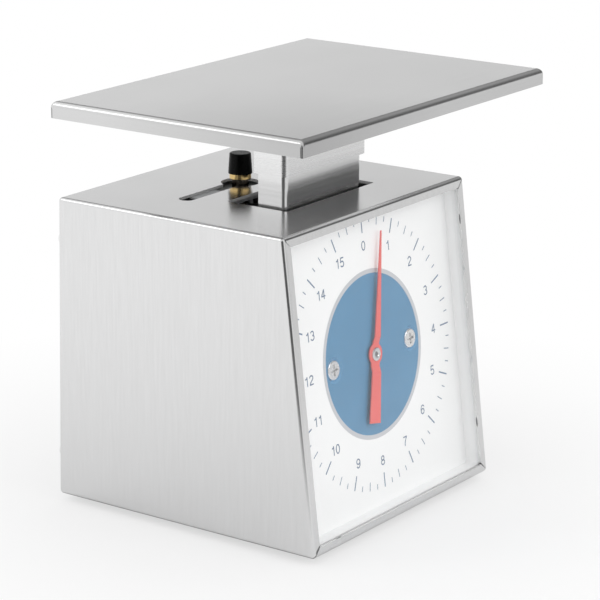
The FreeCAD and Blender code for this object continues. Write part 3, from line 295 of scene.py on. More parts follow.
def brushedSteel(name, look):
    # look: colour, roughness and how strongly the brushing shows; the grain turns with the face
    material, tree, shader, place = startMaterial(name)
    position = place.outputs["Object"]
    upright = useGroup(tree, brushedGrain, Coordinates=position, Fine=look["sideFine"], Broad=look["sideBroad"])
    level = useGroup(tree, brushedGrain, Coordinates=position, Fine=look["topFine"], Broad=look["topBroad"])
    facing = addNode(tree, "ShaderNodeSeparateXYZ")
    tree.links.new(place.outputs["Normal"], facing.inputs[0])
    isTop = spread(tree, calculate(tree, "ABSOLUTE", facing.outputs["Z"]), *steelMix["topRange"], 0.0, 1.0)
    grain, streak = (mixValues(tree, isTop, upright.outputs[label], level.outputs[label])
                     for label in ("Grain", "Streak"))
    handled = useGroup(tree, handledSurface, Coordinates=position, Smear_size=look["smearSize"])
    smear = handled.outputs["Smear"]

    depth = look["grainTone"] + look["streakTone"]
    shade = calculate(tree, "MULTIPLY_ADD", grain, look["grainTone"],
                      calculate(tree, "MULTIPLY", streak, look["streakTone"]))
    shade = spread(tree, shade, *(depth * share for share in steelMix["shadeRange"]), 0.0, 1.0)
    colour = blendColours(tree, shade, tone(look["colour"], 1 - depth), tone(look["colour"]))
    # painted shade towards one corner of the top
    if "cornerDark" in look:
        colour = darkerCorner(tree, position, colour, look)
    # painted shade: the upright faces are darkened against the top
    if "paintedSideShade" in look:
        isSide = calculate(tree, "SUBTRACT", 1.0, isTop)
        colour = blendColours(tree, isSide, colour, tone((1, 1, 1), look["paintedSideShade"]), mode="MULTIPLY")
    colour = blendColours(tree, calculate(tree, "MULTIPLY", smear, look["smearTone"]), colour,
                          tone(look["colour"], steelMix["smearShade"]))

    gloss = calculate(tree, "MULTIPLY_ADD", calculate(tree, "SUBTRACT", grain, 0.5), look["grainGloss"],
                      look["roughness"])
    gloss = calculate(tree, "MULTIPLY_ADD", smear, look["smearGloss"], gloss)
    if "edgeLow" in look:
        cut = cutEdge(tree, position, facing.outputs["Z"], look)
        colour = blendColours(tree, cut, colour, tone(look["edgeColour"]))
        gloss = calculate(tree, "MAXIMUM", gloss, calculate(tree, "MULTIPLY", cut, look["edgeRoughness"]))
        tree.links.new(calculate(tree, "SUBTRACT", 1.0, cut), shader.inputs["Metallic"])
    else:
        shader.inputs["Metallic"].default_value = 1.0
    tree.links.new(colour, shader.inputs["Base Color"])
    tree.links.new(gloss, shader.inputs["Roughness"])
    if "dentHeight" in look:
        dents = useGroup(tree, weldDents, Coordinates=position)
        grain = calculate(tree, "MULTIPLY_ADD", dents.outputs["Dents"], look["dentHeight"], grain)
    shineBump(tree, shader, grain, look["bumpHeight"])
    return material


def darkerCorner(tree, position, colour, look):
    # painted shade: the top's colour darkens softly towards one corner
    near = spread(tree, awayFrom(tree, position, look["cornerAt"]), 0.0, look["cornerReach"],
                  look["cornerDark"], 0.0)
    return blendColours(tree, near, colour, tone(look["colour"], look["cornerShade"]))


def cutEdge(tree, position, upward, look):
    # 1 on the sheared walls of the openings in the top sheet
    place = addNode(tree, "ShaderNodeSeparateXYZ")
    tree.links.new(position, place.inputs[0])
    mask = calculate(tree, "GREATER_THAN", place.outputs["Z"], look["edgeLow"])
    for value, limit in ((place.outputs["X"], look["edgeReach"][0]), (place.outputs["Y"], look["edgeReach"][1]),
                         (upward, look["edgeUpward"])):
        inside = calculate(tree, "LESS_THAN", calculate(tree, "ABSOLUTE", value), limit)
        mask = calculate(tree, "MULTIPLY", mask, inside)
    return mask


turnedMix = {"broad": (400, 400, 400), "pitSize": 2400.0, "pitShare": 0.5, "pitShade": 0.5,
             "noiseRange": (0.3, 0.7), "smoother": 0.05, "rougher": 0.06}


def turnedMetal(name, look):
    # plated or turned small parts: a fine even grain with worn, darker specks
    material, tree, shader, place = startMaterial(name)
    position = place.outputs["Object"]
    grain = useGroup(tree, brushedGrain, Coordinates=position, Fine=look["fine"], Broad=turnedMix["broad"])
    handled = useGroup(tree, handledSurface, Coordinates=position, Pit_size=turnedMix["pitSize"])
    worn = spread(tree, grain.outputs["Streak"], *turnedMix["noiseRange"], 0.0, 1.0)
    colour = blendColours(tree, worn, tone(look["colour"], look["darkest"]), tone(look["colour"]))
    colour = blendColours(tree, calculate(tree, "MULTIPLY", handled.outputs["Pits"], turnedMix["pitShare"]),
                          colour, tone(look["colour"], turnedMix["pitShade"]))
    if "shankColour" in look:
        height = addNode(tree, "ShaderNodeSeparateXYZ")
        tree.links.new(position, height.inputs[0])
        shank = calculate(tree, "LESS_THAN", height.outputs["Z"], look["shankTop"])
        colour = blendColours(tree, shank, colour, tone(look["shankColour"]))
    tree.links.new(colour, shader.inputs["Base Color"])
    gloss = spread(tree, grain.outputs["Grain"], *turnedMix["noiseRange"],
                   look["roughness"] - turnedMix["smoother"], look["roughness"] + turnedMix["rougher"])
    tree.links.new(gloss, shader.inputs["Roughness"])
    shader.inputs["Metallic"].default_value = look.get("metal", 1.0)
    shineBump(tree, shader, grain.outputs["Grain"], look["bumpHeight"])
    return material


paintMix = {"glossSpread": 0.04, "peelDetail": 2.0, "usualShine": 0.5}


def paintedOrMoulded(name, look):
    # paint, plastic, rubber and ink: a faint mottle, a soft orange peel and no metal
    material, tree, shader, place = startMaterial(name)
    position = place.outputs["Object"]
    mottle = useGroup(tree, handledSurface, Coordinates=position, Smear_size=look["mottleSize"]).outputs["Smear"]
    colour = blendColours(tree, mottle, tone(look["colour"]), tone(look["colour"], look["darkest"]))
    tree.links.new(colour, shader.inputs["Base Color"])
    gloss = spread(tree, mottle, 0.0, 1.0, look["roughness"] - paintMix["glossSpread"],
                   look["roughness"] + paintMix["glossSpread"])
    tree.links.new(gloss, shader.inputs["Roughness"])
    peel = noiseAt(tree, position, (look["peelSize"],) * 3, detail=paintMix["peelDetail"])
    shineBump(tree, shader, peel, look["peelHeight"])
    shader.inputs["Specular IOR Level"].default_value = look.get("shine", paintMix["usualShine"])
    return material


def clearSheet(name, look):
    # clear plastic that lets the lamps through to the dial
    material, tree, shader, place = startMaterial(name)
    shader.inputs["Base Color"].default_value = tone(look["colour"])
    shader.inputs["Transmission Weight"].default_value = 1.0
    shader.inputs["IOR"].default_value = look["ior"]
    handled = useGroup(tree, handledSurface, Coordinates=place.outputs["Object"], Smear_size=look["smearSize"])
    haze = spread(tree, handled.outputs["Smear"], 0.0, 1.0, look["roughness"], look["roughness"] + look["haze"])
    tree.links.new(haze, shader.inputs["Roughness"])
    lamps = addNode(tree, "ShaderNodeLightPath")
    through = addNode(tree, "ShaderNodeBsdfTransparent")
    through.inputs["Color"].default_value = tone(look["lampColour"])
    either = calculate(tree, "MAXIMUM", lamps.outputs["Is Shadow Ray"], lamps.outputs["Is Diffuse Ray"])
    mixSurfaces(tree, either, shader, through)
    return material


def mixSurfaces(tree, factor, first, second):
    mixed = addNode(tree, "ShaderNodeMixShader")
    tree.links.new(factor, mixed.inputs[0])
    tree.links.new(first.outputs[0], mixed.inputs[1])
    tree.links.new(second.outputs[0], mixed.inputs[2])
    tree.links.new(mixed.outputs[0], tree.nodes["Material Output"].inputs["Surface"])


casingLook = {"colour": (0.80, 0.80, 0.802), "roughness": 0.19, "grainTone": 0.075, "streakTone": 0.018,
              "grainGloss": 0.08, "smearGloss": 0.03, "smearTone": 0.3, "smearSize": 22.0,
              "bumpHeight": 0.0000008,
              "sideFine": (1000, 1000, 50), "sideBroad": (420, 420, 12),
              "topFine": (14, 1800, 1800), "topBroad": (4, 420, 420), "dentHeight": -14.0,
              "edgeLow": 0.1288, "edgeReach": (0.046, 0.038), "edgeColour": (0.66, 0.66, 0.66),
              "edgeRoughness": 0.5, "edgeUpward": 0.4}
platformLook = {"colour": (0.80, 0.80, 0.80), "roughness": 0.25, "grainTone": 0.03, "streakTone": 0.02,
                # the flanges' share of colour below is painted shade
                "grainGloss": 0.06, "smearGloss": 0.015, "smearTone": 0.1, "smearSize": 14.0, "paintedSideShade": 0.88,
                "bumpHeight": 0.0000006, "sideFine": (16, 16, 1800), "sideBroad": (5, 5, 420),
                "topFine": (14, 1800, 1800), "topBroad": (4, 420, 420),
                # painted shade: where the top darkens, how far it reaches and how dark it gets
                "cornerAt": (-0.0857, -0.0698, 0.175), "cornerReach": 0.095, "cornerDark": 0.5,
                "cornerShade": 0.5}
postLook = {"colour": (0.90, 0.90, 0.90), "roughness": 0.18, "grainTone": 0.12, "streakTone": 0.08,
            "grainGloss": 0.12, "smearGloss": 0.03, "smearTone": 0.4, "smearSize": 30.0,
            "bumpHeight": 0.000001, "sideFine": (16, 16, 1600), "sideBroad": (5, 5, 300),
            "topFine": (14, 1800, 1800), "topBroad": (4, 300, 300)}
# painted light: the post's look with a slightly lighter colour, so the bracket stands out from the post
bracketLook = dict(postLook, colour=(0.92, 0.92, 0.92), roughness=0.26, grainGloss=0.16,
                   sideFine=(30, 30, 1500), sideBroad=(9, 9, 260))

# by material slot: the material's name and its look
turnedLooks = {
    "plated_steel": ("zincPlate", {"colour": (0.62, 0.63, 0.64), "darkest": 0.88, "roughness": 0.58,
                                   "fine": (700, 700, 700), "bumpHeight": 0.00001, "metal": 0.15}),
    "screw_steel": ("brightPlate", {"colour": (0.88, 0.88, 0.88), "darkest": 0.95, "roughness": 0.24,
                                    "fine": (900, 900, 900), "bumpHeight": 0.000003}),
    "pin_steel": ("turnedPin", {"colour": (0.58, 0.58, 0.58), "darkest": 0.88, "roughness": 0.25,
                                "fine": (60, 60, 2500), "bumpHeight": 0.000004}),
    "spring_wire": ("drawnWire", {"colour": (0.42, 0.42, 0.43), "darkest": 0.8, "roughness": 0.3,
                                  "fine": (1200, 1200, 1200), "bumpHeight": 0.000004}),
    "brass": ("brass", {"colour": (0.86, 0.62, 0.27), "darkest": 0.85, "roughness": 0.11,
                        "fine": (60, 60, 2500), "bumpHeight": 0.000004,
                        "shankTop": 0.13195, "shankColour": (0.10, 0.085, 0.07)}),
    "hub_silver": ("hubSilver", {"colour": (0.82, 0.82, 0.82), "darkest": 0.94, "roughness": 0.2,
                                 "fine": (1500, 1500, 1500), "bumpHeight": 0.000003}),
    "hanger_aluminium": ("castAluminium", {"colour": (0.66, 0.67, 0.68), "darkest": 0.85, "roughness": 0.4,
                                           "fine": (900, 900, 900), "bumpHeight": 0.00002}),
}
paintLooks = {
    "damper_plastic": ("damperPlastic", {"colour": (0.03, 0.03, 0.03), "darkest": 0.8, "roughness": 0.45,
                                         "mottleSize": 90.0, "peelSize": 900.0, "peelHeight": 0.00002}),
    "knob_black": ("knobVinyl", {"colour": (0.003, 0.003, 0.003), "darkest": 0.8, "roughness": 0.30,
                                 "mottleSize": 200.0, "peelSize": 1400.0, "peelHeight": 0.00002,
                                 "shine": 0.09}),
    "foot_rubber": ("footRubber", {"colour": (0.02, 0.02, 0.02), "darkest": 0.7, "roughness": 0.6,
                                   "mottleSize": 150.0, "peelSize": 1200.0, "peelHeight": 0.00004}),
    "dial_white": ("dialPaint", {"colour": (0.95, 0.955, 0.955), "darkest": 0.985, "roughness": 0.4,
                                 "mottleSize": 30.0, "peelSize": 1500.0, "peelHeight": 0.000004}),
    "pointer_red": ("pointerPaint", {"colour": (0.84, 0.13, 0.12), "darkest": 0.95, "roughness": 0.45,
                                     "mottleSize": 120.0, "peelSize": 1500.0, "peelHeight": 0.000006}),
}
lensLook = {"colour": (1.0, 1.0, 1.0), "lampColour": (0.985, 0.985, 0.985), "roughness": 0.0, "haze": 0.01,
            "smearSize": 60.0, "ior": 1.49}
inkLooks = {
    "printInk": {"colour": (0.12, 0.19, 0.31), "darkest": 0.9, "roughness": 0.5, "mottleSize": 250.0,
                 "peelSize": 2500.0, "peelHeight": 0.000004},
    "discInk": {"colour": (0.07, 0.25, 0.44), "darkest": 0.95, "roughness": 0.42, "mottleSize": 80.0,
                "peelSize": 2000.0, "peelHeight": 0.000004},
    # painted light: the dimple's blue is lighter than the disc's, so the dimple shows little shade
    "dimpleInkWithPaintedLight": {"colour": (0.13, 0.36, 0.60), "darkest": 0.95, "roughness": 0.42, "mottleSize": 80.0,
                  "peelSize": 2000.0, "peelHeight": 0.000004},
    "ringInk": {"colour": (0.57, 0.58, 0.61), "darkest": 0.96, "roughness": 0.45, "mottleSize": 80.0,
                "peelSize": 2000.0, "peelHeight": 0.000004},
}
# painted shade: a dark grey for the hub's recess and the window's nicks
recessLook = {"colour": (0.30, 0.30, 0.30), "darkest": 0.8, "roughness": 0.45, "fine": (1500, 1500, 1500),
              "bumpHeight": 0.000004}

materials = {"casing_steel": brushedSteel("casingSteel", casingLook),
             "platform_steel": brushedSteel("platformSteel", platformLook),
             "post_steel": brushedSteel("postSteel", postLook)}
for slot, (name, look) in turnedLooks.items():
    materials[slot] = turnedMetal(name, look)
for slot, (name, look) in paintLooks.items():
    materials[slot] = paintedOrMoulded(name, look)
materials["clear_lens"] = clearSheet("clearLens", lensLook)
inks = {name: paintedOrMoulded(name, look) for name, look in inkLooks.items()}
shadedRecess = turnedMetal("shadedRecess", recessLook)

for part in frame["record"]["subparts"]:
    dress(nodes[part["node"]], materials[part["material_slot"]])
# the bracket's lighter steel is painted light
dress(nodes["platform_bracket"], brushedSteel("bracketSteel", bracketLook))
print("materials on the carried-over nodes")

# The printed scale
dialPrint = {"outerRadius": 0.0559, "majorRadius": 0.0499, "halfRadius": 0.0523, "quarterRadius": 0.0537,
             "majorWidth": 0.00060, "minorWidth": 0.00038, "numbers": 16, "parts": 4, "numberRadius": 0.0447,
             "numberHeight": 0.0041, "strokeShare": 0.13, "advanceShare": 0.76, "inkLow": 0.00001,
             "inkHigh": 0.00004, "discRadius": 0.0330, "ringRadius": 0.0348, "bushRadius": 0.00305,
             "ringSides": 160, "dimpleSides": 64, "dimpleX": 0.0274, "dimpleRim": 0.00536,
             "dimpleFloor": 0.0045, "dimpleInner": 0.00405, "dimpleDepth": 0.00112, "cutterDepth": 0.002,
             "liningThickness": 0.00002}
inkThickness = dialPrint["inkHigh"] - dialPrint["inkLow"]


def inkTick(inner, outer, width):
    deselectAll()
    bpy.ops.mesh.primitive_plane_add(size=1, location=(0, 0, 0))
    tick = editAll()
    bpy.ops.transform.resize(value=(width, outer - inner, 1))
    bpy.ops.transform.translate(value=(0, (inner + outer) / 2, dialPrint["inkLow"]))
    extrude(0, 0, inkThickness)
    faceOutward()
    return tick


def inkRing(inner, outer, name):
    deselectAll()
    bpy.ops.mesh.primitive_circle_add(vertices=dialPrint["ringSides"], radius=outer, fill_type="NGON",
                                      location=(0, 0, dialPrint["inkLow"]))
    ring = editAll()
    bpy.ops.mesh.inset(thickness=outer - inner, depth=0)
    bpy.ops.mesh.delete(type="FACE")
    bpy.ops.mesh.select_all(action="SELECT")
    extrude(0, 0, inkThickness)
    faceOutward()
    ring.name = name
    return ring


def layOnDial(piece, material):
    placeMesh(piece, onDial)
    finishPiece(piece, "casing", material)


def cutDimples(disc):
    for side in (-1, 1):
        deselectAll()
        bpy.ops.mesh.primitive_cylinder_add(
            vertices=dialPrint["dimpleSides"], radius=dialPrint["dimpleRim"], depth=dialPrint["cutterDepth"],
            location=(side * dialPrint["dimpleX"], 0, 0))
        cutter = bpy.context.active_object
        applyModifier(disc, "dimple", "BOOLEAN", operation="DIFFERENCE", solver="EXACT", object=cutter)
        bpy.data.objects.remove(cutter)


def dimpleLining(side):
    # ink that runs down the slope and round the screw's head, in a lighter blue than the disc as painted light
    # against the dimple's shade
    deselectAll()
    bpy.ops.mesh.primitive_circle_add(vertices=dialPrint["dimpleSides"], radius=dialPrint["dimpleRim"],
                                      fill_type="NOTHING", location=(0, 0, dialPrint["inkHigh"]))
    lining = editAll()
    reach = dialPrint["dimpleRim"]
    for radius, drop in ((dialPrint["dimpleFloor"], -dialPrint["dimpleDepth"]), (dialPrint["dimpleInner"], 0)):
        extrude(0, 0, drop)
        bpy.ops.transform.resize(value=(radius / reach, radius / reach, 1))
        reach = radius
    faceOutward()
    if lining.data.polygons[0].normal.z < 0:
        lining.data.flip_normals()
    applyModifier(lining, "ink", "SOLIDIFY", thickness=dialPrint["liningThickness"], offset=-1)
    lining.data.transform(Matrix.Translation((side * dialPrint["dimpleX"], 0, 0)))
    return lining


figureWidth = 0.56
arcStep = 20


def strokePoints(parts):
    # a stroke is a run of points and arcs: middle x and y, half width, half height, from and to in degrees
    points = []
    for part in parts:
        if len(part) == 2:
            points.append(part)
            continue
        x, y, wide, high, start, end = part
        steps = max(3, round(abs(end - start) / arcStep))
        for step in range(steps + 1):
            turn = math.radians(start + (end - start) * step / steps)
            points.append((x + wide * math.cos(turn), y + high * math.sin(turn)))
    return points


figures = {
    "0": [[(0.28, 0.50, 0.20, 0.435, 90, 450)]],
    "1": [[(0.13, 0.73), (0.25, 0.77), (0.33, 0.86), (0.35, 0.96)], [(0.35, 0.96), (0.35, 0.0)]],
    "2": [[(0.28, 0.69, 0.195, 0.245, 170, -25), (0.34, 0.45), (0.16, 0.26), (0.09, 0.07)],
          [(0.06, 0.065), (0.50, 0.065)]],
    "3": [[(0.27, 0.70, 0.175, 0.235, 160, -80)], [(0.27, 0.30, 0.20, 0.235, 85, -160)]],
    "4": [[(0.37, 0.0), (0.37, 0.96)], [(0.37, 0.94), (0.07, 0.31)], [(0.04, 0.29), (0.53, 0.29)]],
    "5": [[(0.48, 0.935), (0.13, 0.935)], [(0.145, 0.96), (0.10, 0.47)], [(0.28, 0.33, 0.20, 0.265, 145, -155)]],
    "6": [[(0.31, 0.50, 0.23, 0.435, 35, 180), (0.08, 0.33)], [(0.28, 0.32, 0.20, 0.255, 0, 360)]],
    "7": [[(0.05, 0.935), (0.51, 0.935)], [(0.50, 0.92), (0.33, 0.62), (0.25, 0.36), (0.21, 0.0)]],
    "8": [[(0.28, 0.715, 0.165, 0.22, 0, 360)], [(0.28, 0.30, 0.20, 0.235, 0, 360)]],
}
figures["9"] = [[(figureWidth - x, 1 - y) for x, y in strokePoints(stroke)] for stroke in figures["6"]]


def inkNumber(number):
    deselectAll()
    curve = bpy.data.curves.new("figure", "CURVE")
    curve.dimensions = "3D"
    curve.bevel_depth = dialPrint["strokeShare"] / 2
    curve.bevel_resolution = 1
    curve.use_fill_caps = True
    label = str(number)
    for k, letter in enumerate(label):
        shift = (k - len(label) / 2) * dialPrint["advanceShare"]
        for stroke in figures[letter]:
            points = strokePoints(stroke)
            spline = curve.splines.new("POLY")
            spline.points.add(len(points) - 1)
            for point, (x, y) in zip(spline.points, points):
                point.co = (shift + x * dialPrint["advanceShare"] / figureWidth, y - 0.5, 0, 1)
    text = bpy.data.objects.new("figure", curve)
    bpy.context.scene.collection.objects.link(text)
    makeActive(text)
    bpy.ops.object.convert(target="MESH")
    text = bpy.context.active_object
    angle = 2 * math.pi * number / dialPrint["numbers"]
    spot = Vector((math.sin(angle), math.cos(angle), 0)) * dialPrint["numberRadius"]
    spot.z = (dialPrint["inkHigh"] + dialPrint["inkLow"]) / 2
    size = dialPrint["numberHeight"]
    text.data.transform(Matrix.Translation(spot)
                        @ Matrix.Diagonal((size, size, inkThickness / dialPrint["strokeShare"], 1)))
    return text


def printScale():
    kinds = (("majorRadius", "majorWidth"), ("quarterRadius", "minorWidth"), ("halfRadius", "minorWidth"),
             ("quarterRadius", "minorWidth"))
    masters = [inkTick(dialPrint[inner], dialPrint["outerRadius"], dialPrint[width]) for inner, width in kinds]
    marks = []
    ticks = dialPrint["parts"] * dialPrint["numbers"]
    for step in range(ticks):
        angle = -2 * math.pi * step / ticks
        marks.append(copyPiece(masters[step % dialPrint["parts"]], Matrix.Rotation(angle, 4, "Z")))
    for master in masters:
        bpy.data.objects.remove(master)
    marks += [inkNumber(number) for number in range(dialPrint["numbers"])]
    layOnDial(joinPieces(marks, "dialScale"), inks["printInk"])


printScale()
dialDisc = inkRing(dialPrint["bushRadius"], dialPrint["discRadius"], "dialDisc")
cutDimples(dialDisc)
layOnDial(dialDisc, inks["discInk"])
layOnDial(inkRing(dialPrint["discRadius"], dialPrint["ringRadius"], "dialRing"), inks["ringInk"])
# the dimple lining takes the lighter blue: painted light
layOnDial(joinPieces([dimpleLining(-1), dimpleLining(1)], "dimpleInkWithPaintedLight"), inks["dimpleInkWithPaintedLight"])

# The hub on the pointer, turned with a centre recess
hubShape = {"profile": ((0.0021, 0.0006), (0.0021, 0.0009), (0.0016, 0.0009), (0.0016, 0.0014), (0.0028, 0.0014),
                        (0.0028, 0.00166), (0.00272, 0.00182), (0.00256, 0.0019), (0.00150, 0.0019),
                        (0.00128, 0.00184), (0.00112, 0.00166)),
            "sides": 64, "recessInset": 0.00002, "recessLip": 0.00003, "recessFloor": 0.00062,
            "recessDrop": 0.00006, "recessSides": 48, "smoothBelow": 35}


def turnedRing(profile, sides, name):
    # the first circle is extruded and resized from step to step, and both ends stay closed
    deselectAll()
    radius, height = profile[0]
    bpy.ops.mesh.primitive_circle_add(vertices=sides, radius=radius, fill_type="NGON", location=(0, 0, height))
    piece = editAll()
    for nextRadius, nextHeight in profile[1:]:
        extrude(0, 0, nextHeight - height)
        bpy.ops.transform.resize(value=(nextRadius / radius, nextRadius / radius, 1))
        radius, height = nextRadius, nextHeight
    faceOutward()
    makeActive(piece)
    bpy.ops.object.shade_smooth_by_angle(angle=math.radians(hubShape["smoothBelow"]))
    deselectAll()
    piece.name = name
    placeMesh(piece, onDial)
    return piece


def buildHub():
    hub = turnedRing(hubShape["profile"], hubShape["sides"], "turnedHub")
    finishPiece(hub, "pointer", materials["hub_silver"])
    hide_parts("pointer_hub")
    radius, height = hubShape["profile"][-1]
    radius -= hubShape["recessInset"]
    recess = turnedRing(((radius, height), (radius, height + hubShape["recessLip"]),
                         (hubShape["recessFloor"], height + hubShape["recessDrop"])),
                        hubShape["recessSides"], "hubRecess")
    # the recess is painted dark grey: painted shade
    finishPiece(recess, "pointer", shadedRecess)


buildHub()

# Small nicks in the sheared edge of the window, drawn as thin dark sheets: painted shade in the nicks
nickPlan = {"length": 0.0042, "width": 0.0007, "sides": 20, "proud": 0.00004, "rightX": 0.0595, "depth": 0.0005,
            "rightRises": (0.1105, 0.0228), "footX": -0.0462, "footRise": 0.0039,
            "cornerX": -0.0609, "cornerRise": 0.0034, "cornerTurn": -52.0, "cornerLength": 0.0038,
            "cornerWidth": 0.0011}


def cutNick(matrix, width=nickPlan["width"], length=nickPlan["length"]):
    deselectAll()
    bpy.ops.mesh.primitive_circle_add(vertices=nickPlan["sides"], radius=0.5, fill_type="NGON", location=(0, 0, 0))
    nick = editAll()
    bpy.ops.transform.resize(value=(width, length, 1))
    extrude(0, 0, nickPlan["proud"])
    faceOutward()
    placeMesh(nick, matrix)
    return nick


def onWindow(x, rise, depth=nickPlan["depth"]):
    return faceFoot + faceUp * rise - faceOut * depth + faceRight * x


def buildNicks():
    nicks = [cutNick(turnedTo(onWindow(nickPlan["rightX"], rise), -faceOut, faceUp, -faceRight))
             for rise in nickPlan["rightRises"]]
    nicks.append(cutNick(turnedTo(onWindow(nickPlan["footX"], nickPlan["footRise"]),
                                  -faceOut, faceRight, faceUp)))
    corner = turnedTo(onWindow(nickPlan["cornerX"], nickPlan["cornerRise"], depth=0), faceRight, faceUp, faceOut)
    turn = Matrix.Rotation(math.radians(nickPlan["cornerTurn"]), 4, "Z")
    nicks.append(cutNick(corner @ turn, nickPlan["cornerWidth"], nickPlan["cornerLength"]))
    finishPiece(joinPieces(nicks, "windowNickShade"), "casing", shadedRecess)


buildNicks()

# The tongue bent up from the bridge, just under the slot in the cover
tongue = {"startX": -0.0283, "middleY": 0.0233, "width": 0.0078, "thickness": 0.0009, "topZ": 0.12885,
          "runs": ((0.0160, 0, 0), (0.0019, 0, -0.00115), (0.0030, 0, 0)), "edgeRound": 0.0002, "edgeSteps": 2}


def buildTongue():
    deselectAll()
    end = (tongue["startX"], tongue["middleY"], tongue["topZ"] - tongue["thickness"] / 2)
    bpy.ops.mesh.primitive_plane_add(size=1, location=end, rotation=(0, math.pi / 2, 0))
    strip = bpy.context.active_object
    strip.name = "bridgeTongue"
    placeMesh(strip, Matrix.Identity(4))
    editAll()
    bpy.ops.transform.resize(value=(1, tongue["width"], tongue["thickness"]), center_override=end)
    for run in tongue["runs"]:
        extrude(*run)
    faceOutward()
    applyModifier(strip, "rounding", "BEVEL", width=tongue["edgeRound"], segments=tongue["edgeSteps"])
    finishPiece(strip, "casing", materials["plated_steel"])


buildTongue()

# Floor, backdrop light, lamps and camera
studio = {"floorRadius": 1.6, "floorSides": 96, "floorSink": 0.00005, "floorTone": 0.80,
          "floorRoughness": 0.8, "shadowReach": (0.10, 0.26), "mirrorReach": (0.16, 0.46),
          "farAxis": (0.79, -0.61, 0.0), "farReach": (0.0, 0.25), "farLevel": 0.75, "worldLevel": 1.0,
          "backdropLevel": 0.95, "darkLevel": 0.09, "highLevel": 0.36, "highRise": (0.30, 0.58),
          "nearAxis": (-0.83, -0.55, 0.0), "nearReach": (0.80, 0.91), "nearLevel": 0.08, "shadowShare": 0.6,
          "darkTilt": (0.0, -0.24, 1.0), "darkRise": (0.07, 0.26), "darkSide": (0.05, 0.42),
          "lampTarget": (0, 0, 0.08)}
lamps = {"leftLamp": {"place": (-1.0, 0.80, 1.05), "size": 0.8, "power": 1.6, "inReflections": False},
         "edgeLamp": {"place": (-1.02, 0.98, 1.22), "size": 0.5, "power": 1.6, "inReflections": True},
         "frontLamp": {"place": (0.05, -1.15, 0.70), "size": 0.6, "power": 3.0, "inReflections": False}}
viewpoint = {"eye": (-0.84949826, -0.61480319, 0.38430306), "right": (0.58205441, -0.81314719, 0.0020784),
             "up": (0.2230696, 0.16213111, 0.96122498), "forward": (0.78195436, 0.55902161, -0.27575754),
             "focalPixels": 2648.14, "picturePixels": 600.0, "sensorWidth": 36.0, "clipRange": (0.01, 20.0)}


def lightPathOf(tree):
    # what is seen directly, in a reflection or through the window
    path = addNode(tree, "ShaderNodeLightPath")
    shown = calculate(tree, "MAXIMUM", path.outputs["Is Camera Ray"], path.outputs["Is Transmission Ray"])
    return calculate(tree, "MAXIMUM", shown, path.outputs["Is Glossy Ray"]), path.outputs["Is Glossy Ray"]


def dotWith(tree, vector, direction):
    node = addNode(tree, "ShaderNodeVectorMath", operation="DOT_PRODUCT")
    tree.links.new(vector, node.inputs[0])
    node.inputs[1].default_value = direction
    return node.outputs["Value"]


def nearSide(tree, bearing):
    # the room behind the photographer is darker, which draws a thin line down every bend
    return spread(tree, dotWith(tree, bearing, studio["nearAxis"]), *studio["nearReach"], 1.0, studio["nearLevel"])


def buildFloor():
    # plain white paper: near the object it takes the shadow, further out it runs into the backdrop
    deselectAll()
    bpy.ops.mesh.primitive_circle_add(vertices=studio["floorSides"], radius=studio["floorRadius"],
                                      fill_type="NGON", location=(0, 0, -studio["floorSink"]))
    floor = bpy.context.active_object
    floor.name = "paleFloor"
    material, tree, shader, place = startMaterial("paleFloor")
    shader.inputs["Base Color"].default_value = tone((1, 1, 1), studio["floorTone"])
    shader.inputs["Roughness"].default_value = studio["floorRoughness"]
    shader.inputs["Specular IOR Level"].default_value = 0.0
    position = place.outputs["Object"]
    shown, mirrored = lightPathOf(tree)
    reach = awayFrom(tree, position, (0, 0, 0))
    far = mixValues(tree, mirrored, spread(tree, reach, *studio["shadowReach"], studio["shadowShare"], 1.0),
                    spread(tree, reach, *studio["mirrorReach"], 0.0, 1.0))
    dimmed = spread(tree, dotWith(tree, position, studio["farAxis"]), *studio["farReach"], 1.0,
                    studio["farLevel"])
    bearing = addNode(tree, "ShaderNodeVectorMath", operation="NORMALIZE")
    tree.links.new(position, bearing.inputs[0])
    dimmed = calculate(tree, "MULTIPLY", dimmed, nearSide(tree, bearing.outputs["Vector"]))
    paper = addNode(tree, "ShaderNodeEmission")
    tree.links.new(mixValues(tree, mirrored, 1.0, dimmed), paper.inputs["Strength"])
    mixSurfaces(tree, calculate(tree, "MULTIPLY", far, shown), shader, paper)
    material.cycles.emission_sampling = "NONE"
    floor.data.materials.append(material)


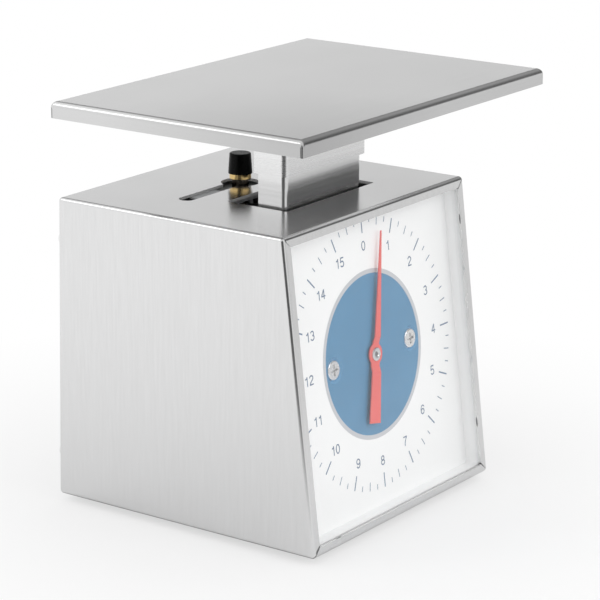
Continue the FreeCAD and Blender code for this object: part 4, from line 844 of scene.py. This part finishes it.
def buildWorld():
    # white all round; in reflections the room is darker to the right and above, as behind the real lamps
    world = bpy.data.worlds.new("studio")
    bpy.context.scene.world = world
    world.use_nodes = True
    tree = world.node_tree
    background = tree.nodes["Background"]
    place = addNode(tree, "ShaderNodeTexCoord")
    toward = place.outputs["Generated"]
    rise = spread(tree, dotWith(tree, toward, studio["darkTilt"]), *studio["darkRise"], 0.0, 1.0)
    side = spread(tree, dotWith(tree, toward, (1, 0, 0)), *studio["darkSide"], 0.0, 1.0)
    dim = spread(tree, dotWith(tree, toward, (0, 0, 1)), *studio["highRise"], studio["darkLevel"],
                 studio["highLevel"])
    room = mixValues(tree, calculate(tree, "MULTIPLY", rise, side), studio["backdropLevel"], dim)
    room = calculate(tree, "MULTIPLY", room, nearSide(tree, toward))
    shown, mirrored = lightPathOf(tree)
    strength = mixValues(tree, mirrored, mixValues(tree, shown, studio["worldLevel"], 1.0), room)
    background.inputs["Color"].default_value = (1, 1, 1, 1)
    tree.links.new(strength, background.inputs["Strength"])


def areaLamp(name, plan):
    data = bpy.data.lights.new(name, "AREA")
    data.shape = "RECTANGLE"
    data.size = data.size_y = plan["size"]
    data.energy = plan["power"]
    lamp = bpy.data.objects.new(name, data)
    bpy.context.scene.collection.objects.link(lamp)
    aim = (Vector(studio["lampTarget"]) - Vector(plan["place"])).to_track_quat("-Z", "Y")
    lamp.matrix_world = Matrix.Translation(plan["place"]) @ aim.to_matrix().to_4x4()
    lamp.visible_glossy = plan["inReflections"]


def buildCamera():
    # stands where the photograph was taken from, worked out from the casing's and the platform's edges
    data = bpy.data.cameras.new("camera")
    data.sensor_width = viewpoint["sensorWidth"]
    data.lens = viewpoint["focalPixels"] * viewpoint["sensorWidth"] / viewpoint["picturePixels"]
    data.clip_start, data.clip_end = viewpoint["clipRange"]
    camera = bpy.data.objects.new("camera", data)
    bpy.context.scene.collection.objects.link(camera)
    camera.matrix_world = turnedTo(Vector(viewpoint["eye"]), Vector(viewpoint["right"]),
                                   Vector(viewpoint["up"]), -Vector(viewpoint["forward"]))
    bpy.context.scene.camera = camera


buildFloor()
buildWorld()
for name, plan in lamps.items():
    areaLamp(name, plan)
buildCamera()
bpy.context.scene.view_settings.view_transform = "Standard"
print("studio built")
